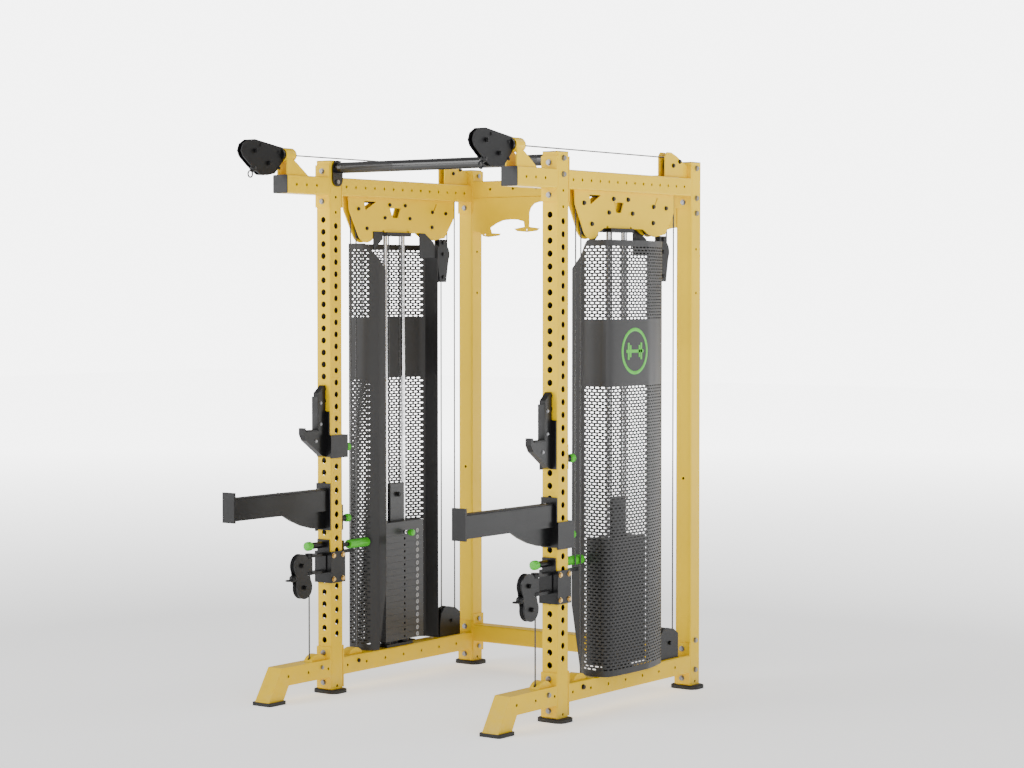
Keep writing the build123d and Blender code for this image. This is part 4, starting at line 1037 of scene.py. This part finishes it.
class CAGE_OT_fittings(bpy.types.Operator):
    """Make the roller bolts, the liners, the grips and the small nuts of the parts on the uprights"""

    bl_idname = "cage.fittings"
    bl_label = "Fittings"

    def execute(self, context):
        for name, side in SIDES.items():
            self.carriage(name, side)
            self.jcup(name, side)
            self.spotter(name, side)
            self.swivels(name, side)
            self.stack(name, side)
        return {"FINISHED"}

    def carriage(self, name, side):
        rollers = bolts_through(f"carriage_bolts_{name}", side, CARRIAGE_ROLLERS, 0.046, 0.0085, 0.007)
        mount(rollers, f"carriage_{name}", "zinc_steel", "brass")
        grip = turned(f"carriage_grip_{name}", GRIP_PROFILE, spot(side, *GRIP_PLACE), (0, 1, 0), 36)
        mount(smooth(grip, 50), f"carriage_{name}", "green_knob")

    def jcup(self, name, side):
        half = JCUP_LINER_HALF
        seat = slab(f"jcup_liner_seat_{name}", spot(side, -half, -0.1635, 1.1155), spot(side, half, -0.090, 1.1225))
        wall = slab(f"jcup_liner_wall_{name}", spot(side, -half, -0.0965, 1.117), spot(side, half, -0.0885, 1.262))
        mount(unite(f"jcup_liner_{name}", [seat, wall]), f"jcup_{name}", "black_plastic")
        bolts = bolts_through(f"jcup_bolts_{name}", side, JCUP_BOLTS, 0.014, 0.006, 0.005)
        mount(bolts, f"jcup_{name}", "zinc_steel")

    def spotter(self, name, side):
        low = spot(side, -SPOTTER_STRIP_HALF, -0.612, 0.8638)
        high = spot(side, SPOTTER_STRIP_HALF, -0.046, SPOTTER_STRIP_TOP)
        mount(slab(f"spotter_strip_{name}", low, high, 0.002, 3), f"spotter_arm_{name}", "black_plastic")
        heads = [
            hexagon(f"spotter_bolt_{name}_{n}", 0.0055, 0.004, spot(side, 0, back, SPOTTER_STRIP_TOP), (0, 0, 1))
            for n, back in enumerate(SPOTTER_BOLTS_BACK)
        ]
        mount(unite(f"spotter_bolts_{name}", heads), f"spotter_arm_{name}", "zinc_steel")

    def swivels(self, name, side):
        nuts = bolts_through(f"swivel_nuts_{name}", side, SWIVEL_AXLES, 0.020, 0.0075, 0.006)
        mount(nuts, f"carriage_swivel_{name}", "zinc_steel", "black_coat")
        axles = bolts_through(f"arm_axles_{name}", side, ARM_AXLES, 0.019, 0.0075, 0.006)
        rims = bolts_through(f"arm_rim_{name}", side, ARM_RIM_BOLTS, 0.013, 0.0055, 0.004)
        mount(unite(f"arm_nuts_{name}", [axles, rims]), f"arm_swivel_{name}", "zinc_steel", "black_coat")

    def stack(self, name, side):
        nuts = bolts_through(f"head_nuts_{name}", side, HEAD_AXLE, 0.024, 0.009, 0.008)
        mount(nuts, f"stack_head_{name}", "zinc_steel")
        nuts = bolts_through(f"float_nuts_{name}", side, FLOAT_BOLTS, 0.012, 0.0075, 0.006)
        mount(nuts, f"floating_block_{name}", "zinc_steel", "black_coat")


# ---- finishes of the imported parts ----
OWN_FINISHES = {"pull_up_bar": "bar", "uprights": "upright_coat"}


class CAGE_OT_frame_finish(bpy.types.Operator):
    """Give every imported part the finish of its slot"""

    bl_idname = "cage.frame_finish"
    bl_label = "Frame finishes"

    def execute(self, context):
        make_finishes(context.scene.cage_colours)
        slots = {part["node"]: part["material_slot"] for part in frame["record"]["subparts"]}
        for name, piece in frame["nodes"].items():
            dress(piece, OWN_FINISHES.get(name, slots[name]))
        return {"FINISHED"}


# ---- stage ----
CAMERA_PLACE = (5.982, -7.898, 1.708)
CAMERA_TILT = 90 - 2.25
CAMERA_TURN = 36.10
CAMERA_LENS = 83.74
SKY_LIGHT = 0.5
SKY_SHOWN = 6.0
FLOOR_GLOW = 4.5
GLOW_FROM = 3.0
GLOW_FULL = 16.0
GLOW_NEAR = 0.7
FLOOR_SIZE = 60
LIGHTS = {
    "key": ((-3.6, -6.0, 4.6), 4.0, 300),
    "fill": ((6.5, -2.5, 3.2), 4.5, 120),
    "back": ((1.5, 5.5, 4.4), 4.0, 130),
}
LIGHTS_AIM = (0, 0.1, 1.15)


class CAGE_OT_stage(bpy.types.Operator):
    """Set the pale floor, the studio lights and the camera"""

    bl_idname = "cage.stage"
    bl_label = "Stage"

    def execute(self, context):
        self.floor()
        self.sky(context)
        self.lights()
        self.camera(context)
        return {"FINISHED"}

    def floor(self):
        start_clean()
        bpy.ops.mesh.primitive_grid_add(x_subdivisions=8, y_subdivisions=8, size=FLOOR_SIZE, location=(0, 0, 0))
        floor = settle(bpy.context.object, "studio_floor")
        paint = Finish("studio floor", specular=0.2)
        cloudy = paint.noise(1.5, 2.0)
        paint.set("Base Color", paint.mix(cloudy, (0.93, 0.93, 0.93, 1), (0.95, 0.95, 0.95, 1)))
        paint.set("Roughness", 0.75)
        paint.set("Emission Strength", 1.0)
        away = paint.node("ShaderNodeVectorMath", {"operation": "LENGTH"}, {0: paint.place}, "Value")
        glow = away.fade(GLOW_FROM, GLOW_FULL) * FLOOR_GLOW + GLOW_NEAR
        grey = paint.node("ShaderNodeCombineColor", {}, {0: glow, 1: glow, 2: glow})
        paint.set("Emission Color", grey)
        floor.data.materials.append(paint.material)

    def sky(self, context):
        """White all over, and brighter to the camera than to the object."""
        world = bpy.data.worlds.new("studio")
        world.use_nodes = True
        nodes = world.node_tree.nodes
        background = next(n for n in nodes if n.type == "BACKGROUND")
        background.inputs["Color"].default_value = (1, 1, 1, 1)
        seen = nodes.new("ShaderNodeLightPath").outputs["Is Camera Ray"]
        strength = nodes.new("ShaderNodeMapRange")
        strength.inputs["To Min"].default_value = SKY_LIGHT
        strength.inputs["To Max"].default_value = SKY_SHOWN
        world.node_tree.links.new(seen, strength.inputs["Value"])
        world.node_tree.links.new(strength.outputs[0], background.inputs["Strength"])
        context.scene.world = world

    def lights(self):
        for name, (place, size, power) in LIGHTS.items():
            aim = (Vector(LIGHTS_AIM) - Vector(place)).to_track_quat("-Z", "Y").to_euler()
            bpy.ops.object.light_add(type="AREA", location=place, rotation=aim)
            light = bpy.context.object
            light.name = name
            light.data.size = size
            light.data.energy = power

    def camera(self, context):
        turn = (math.radians(CAMERA_TILT), 0, math.radians(CAMERA_TURN))
        bpy.ops.object.camera_add(location=CAMERA_PLACE, rotation=turn)
        camera = bpy.context.object
        camera.data.lens = CAMERA_LENS
        camera.data.sensor_width = 36
        context.scene.camera = camera


class CAGE_PT_panel(bpy.types.Panel):
    """Sizes, colours and steps of the power cage"""

    bl_label = "Power Cage"
    bl_idname = "CAGE_PT_panel"
    bl_space_type = "VIEW_3D"
    bl_region_type = "UI"
    bl_category = "Cage"

    def draw(self, context):
        scene = context.scene
        for group in (scene.cage_sheet, scene.cage_fittings, scene.cage_colours):
            box = self.layout.box()
            for name in group.__annotations__:
                box.prop(group, name)
        for operator in STEPS:
            self.layout.operator(operator.bl_idname)


STEPS = (
    CAGE_OT_stage, CAGE_OT_frame_finish, CAGE_OT_shrouds, CAGE_OT_knobs, CAGE_OT_cables, CAGE_OT_numbers,
    CAGE_OT_fittings,
)
CLASSES = (CageSheetSizes, CageFittingSizes, CageColours, *STEPS, CAGE_PT_panel)


def register():
    for cls in CLASSES:
        bpy.utils.register_class(cls)
    bpy.types.Scene.cage_sheet = bpy.props.PointerProperty(type=CageSheetSizes)
    bpy.types.Scene.cage_fittings = bpy.props.PointerProperty(type=CageFittingSizes)
    bpy.types.Scene.cage_colours = bpy.props.PointerProperty(type=CageColours)


def unregister():
    del bpy.types.Scene.cage_sheet
    del bpy.types.Scene.cage_fittings
    del bpy.types.Scene.cage_colours
    for cls in reversed(CLASSES):
        bpy.utils.unregister_class(cls)


def main():
    register()
    bpy.ops.cage.stage()
    bpy.ops.cage.frame_finish()
    bpy.ops.cage.shrouds()
    bpy.ops.cage.knobs()
    bpy.ops.cage.cables()
    bpy.ops.cage.numbers()
    bpy.ops.cage.fittings()


if __name__ == "__main__":
    main()
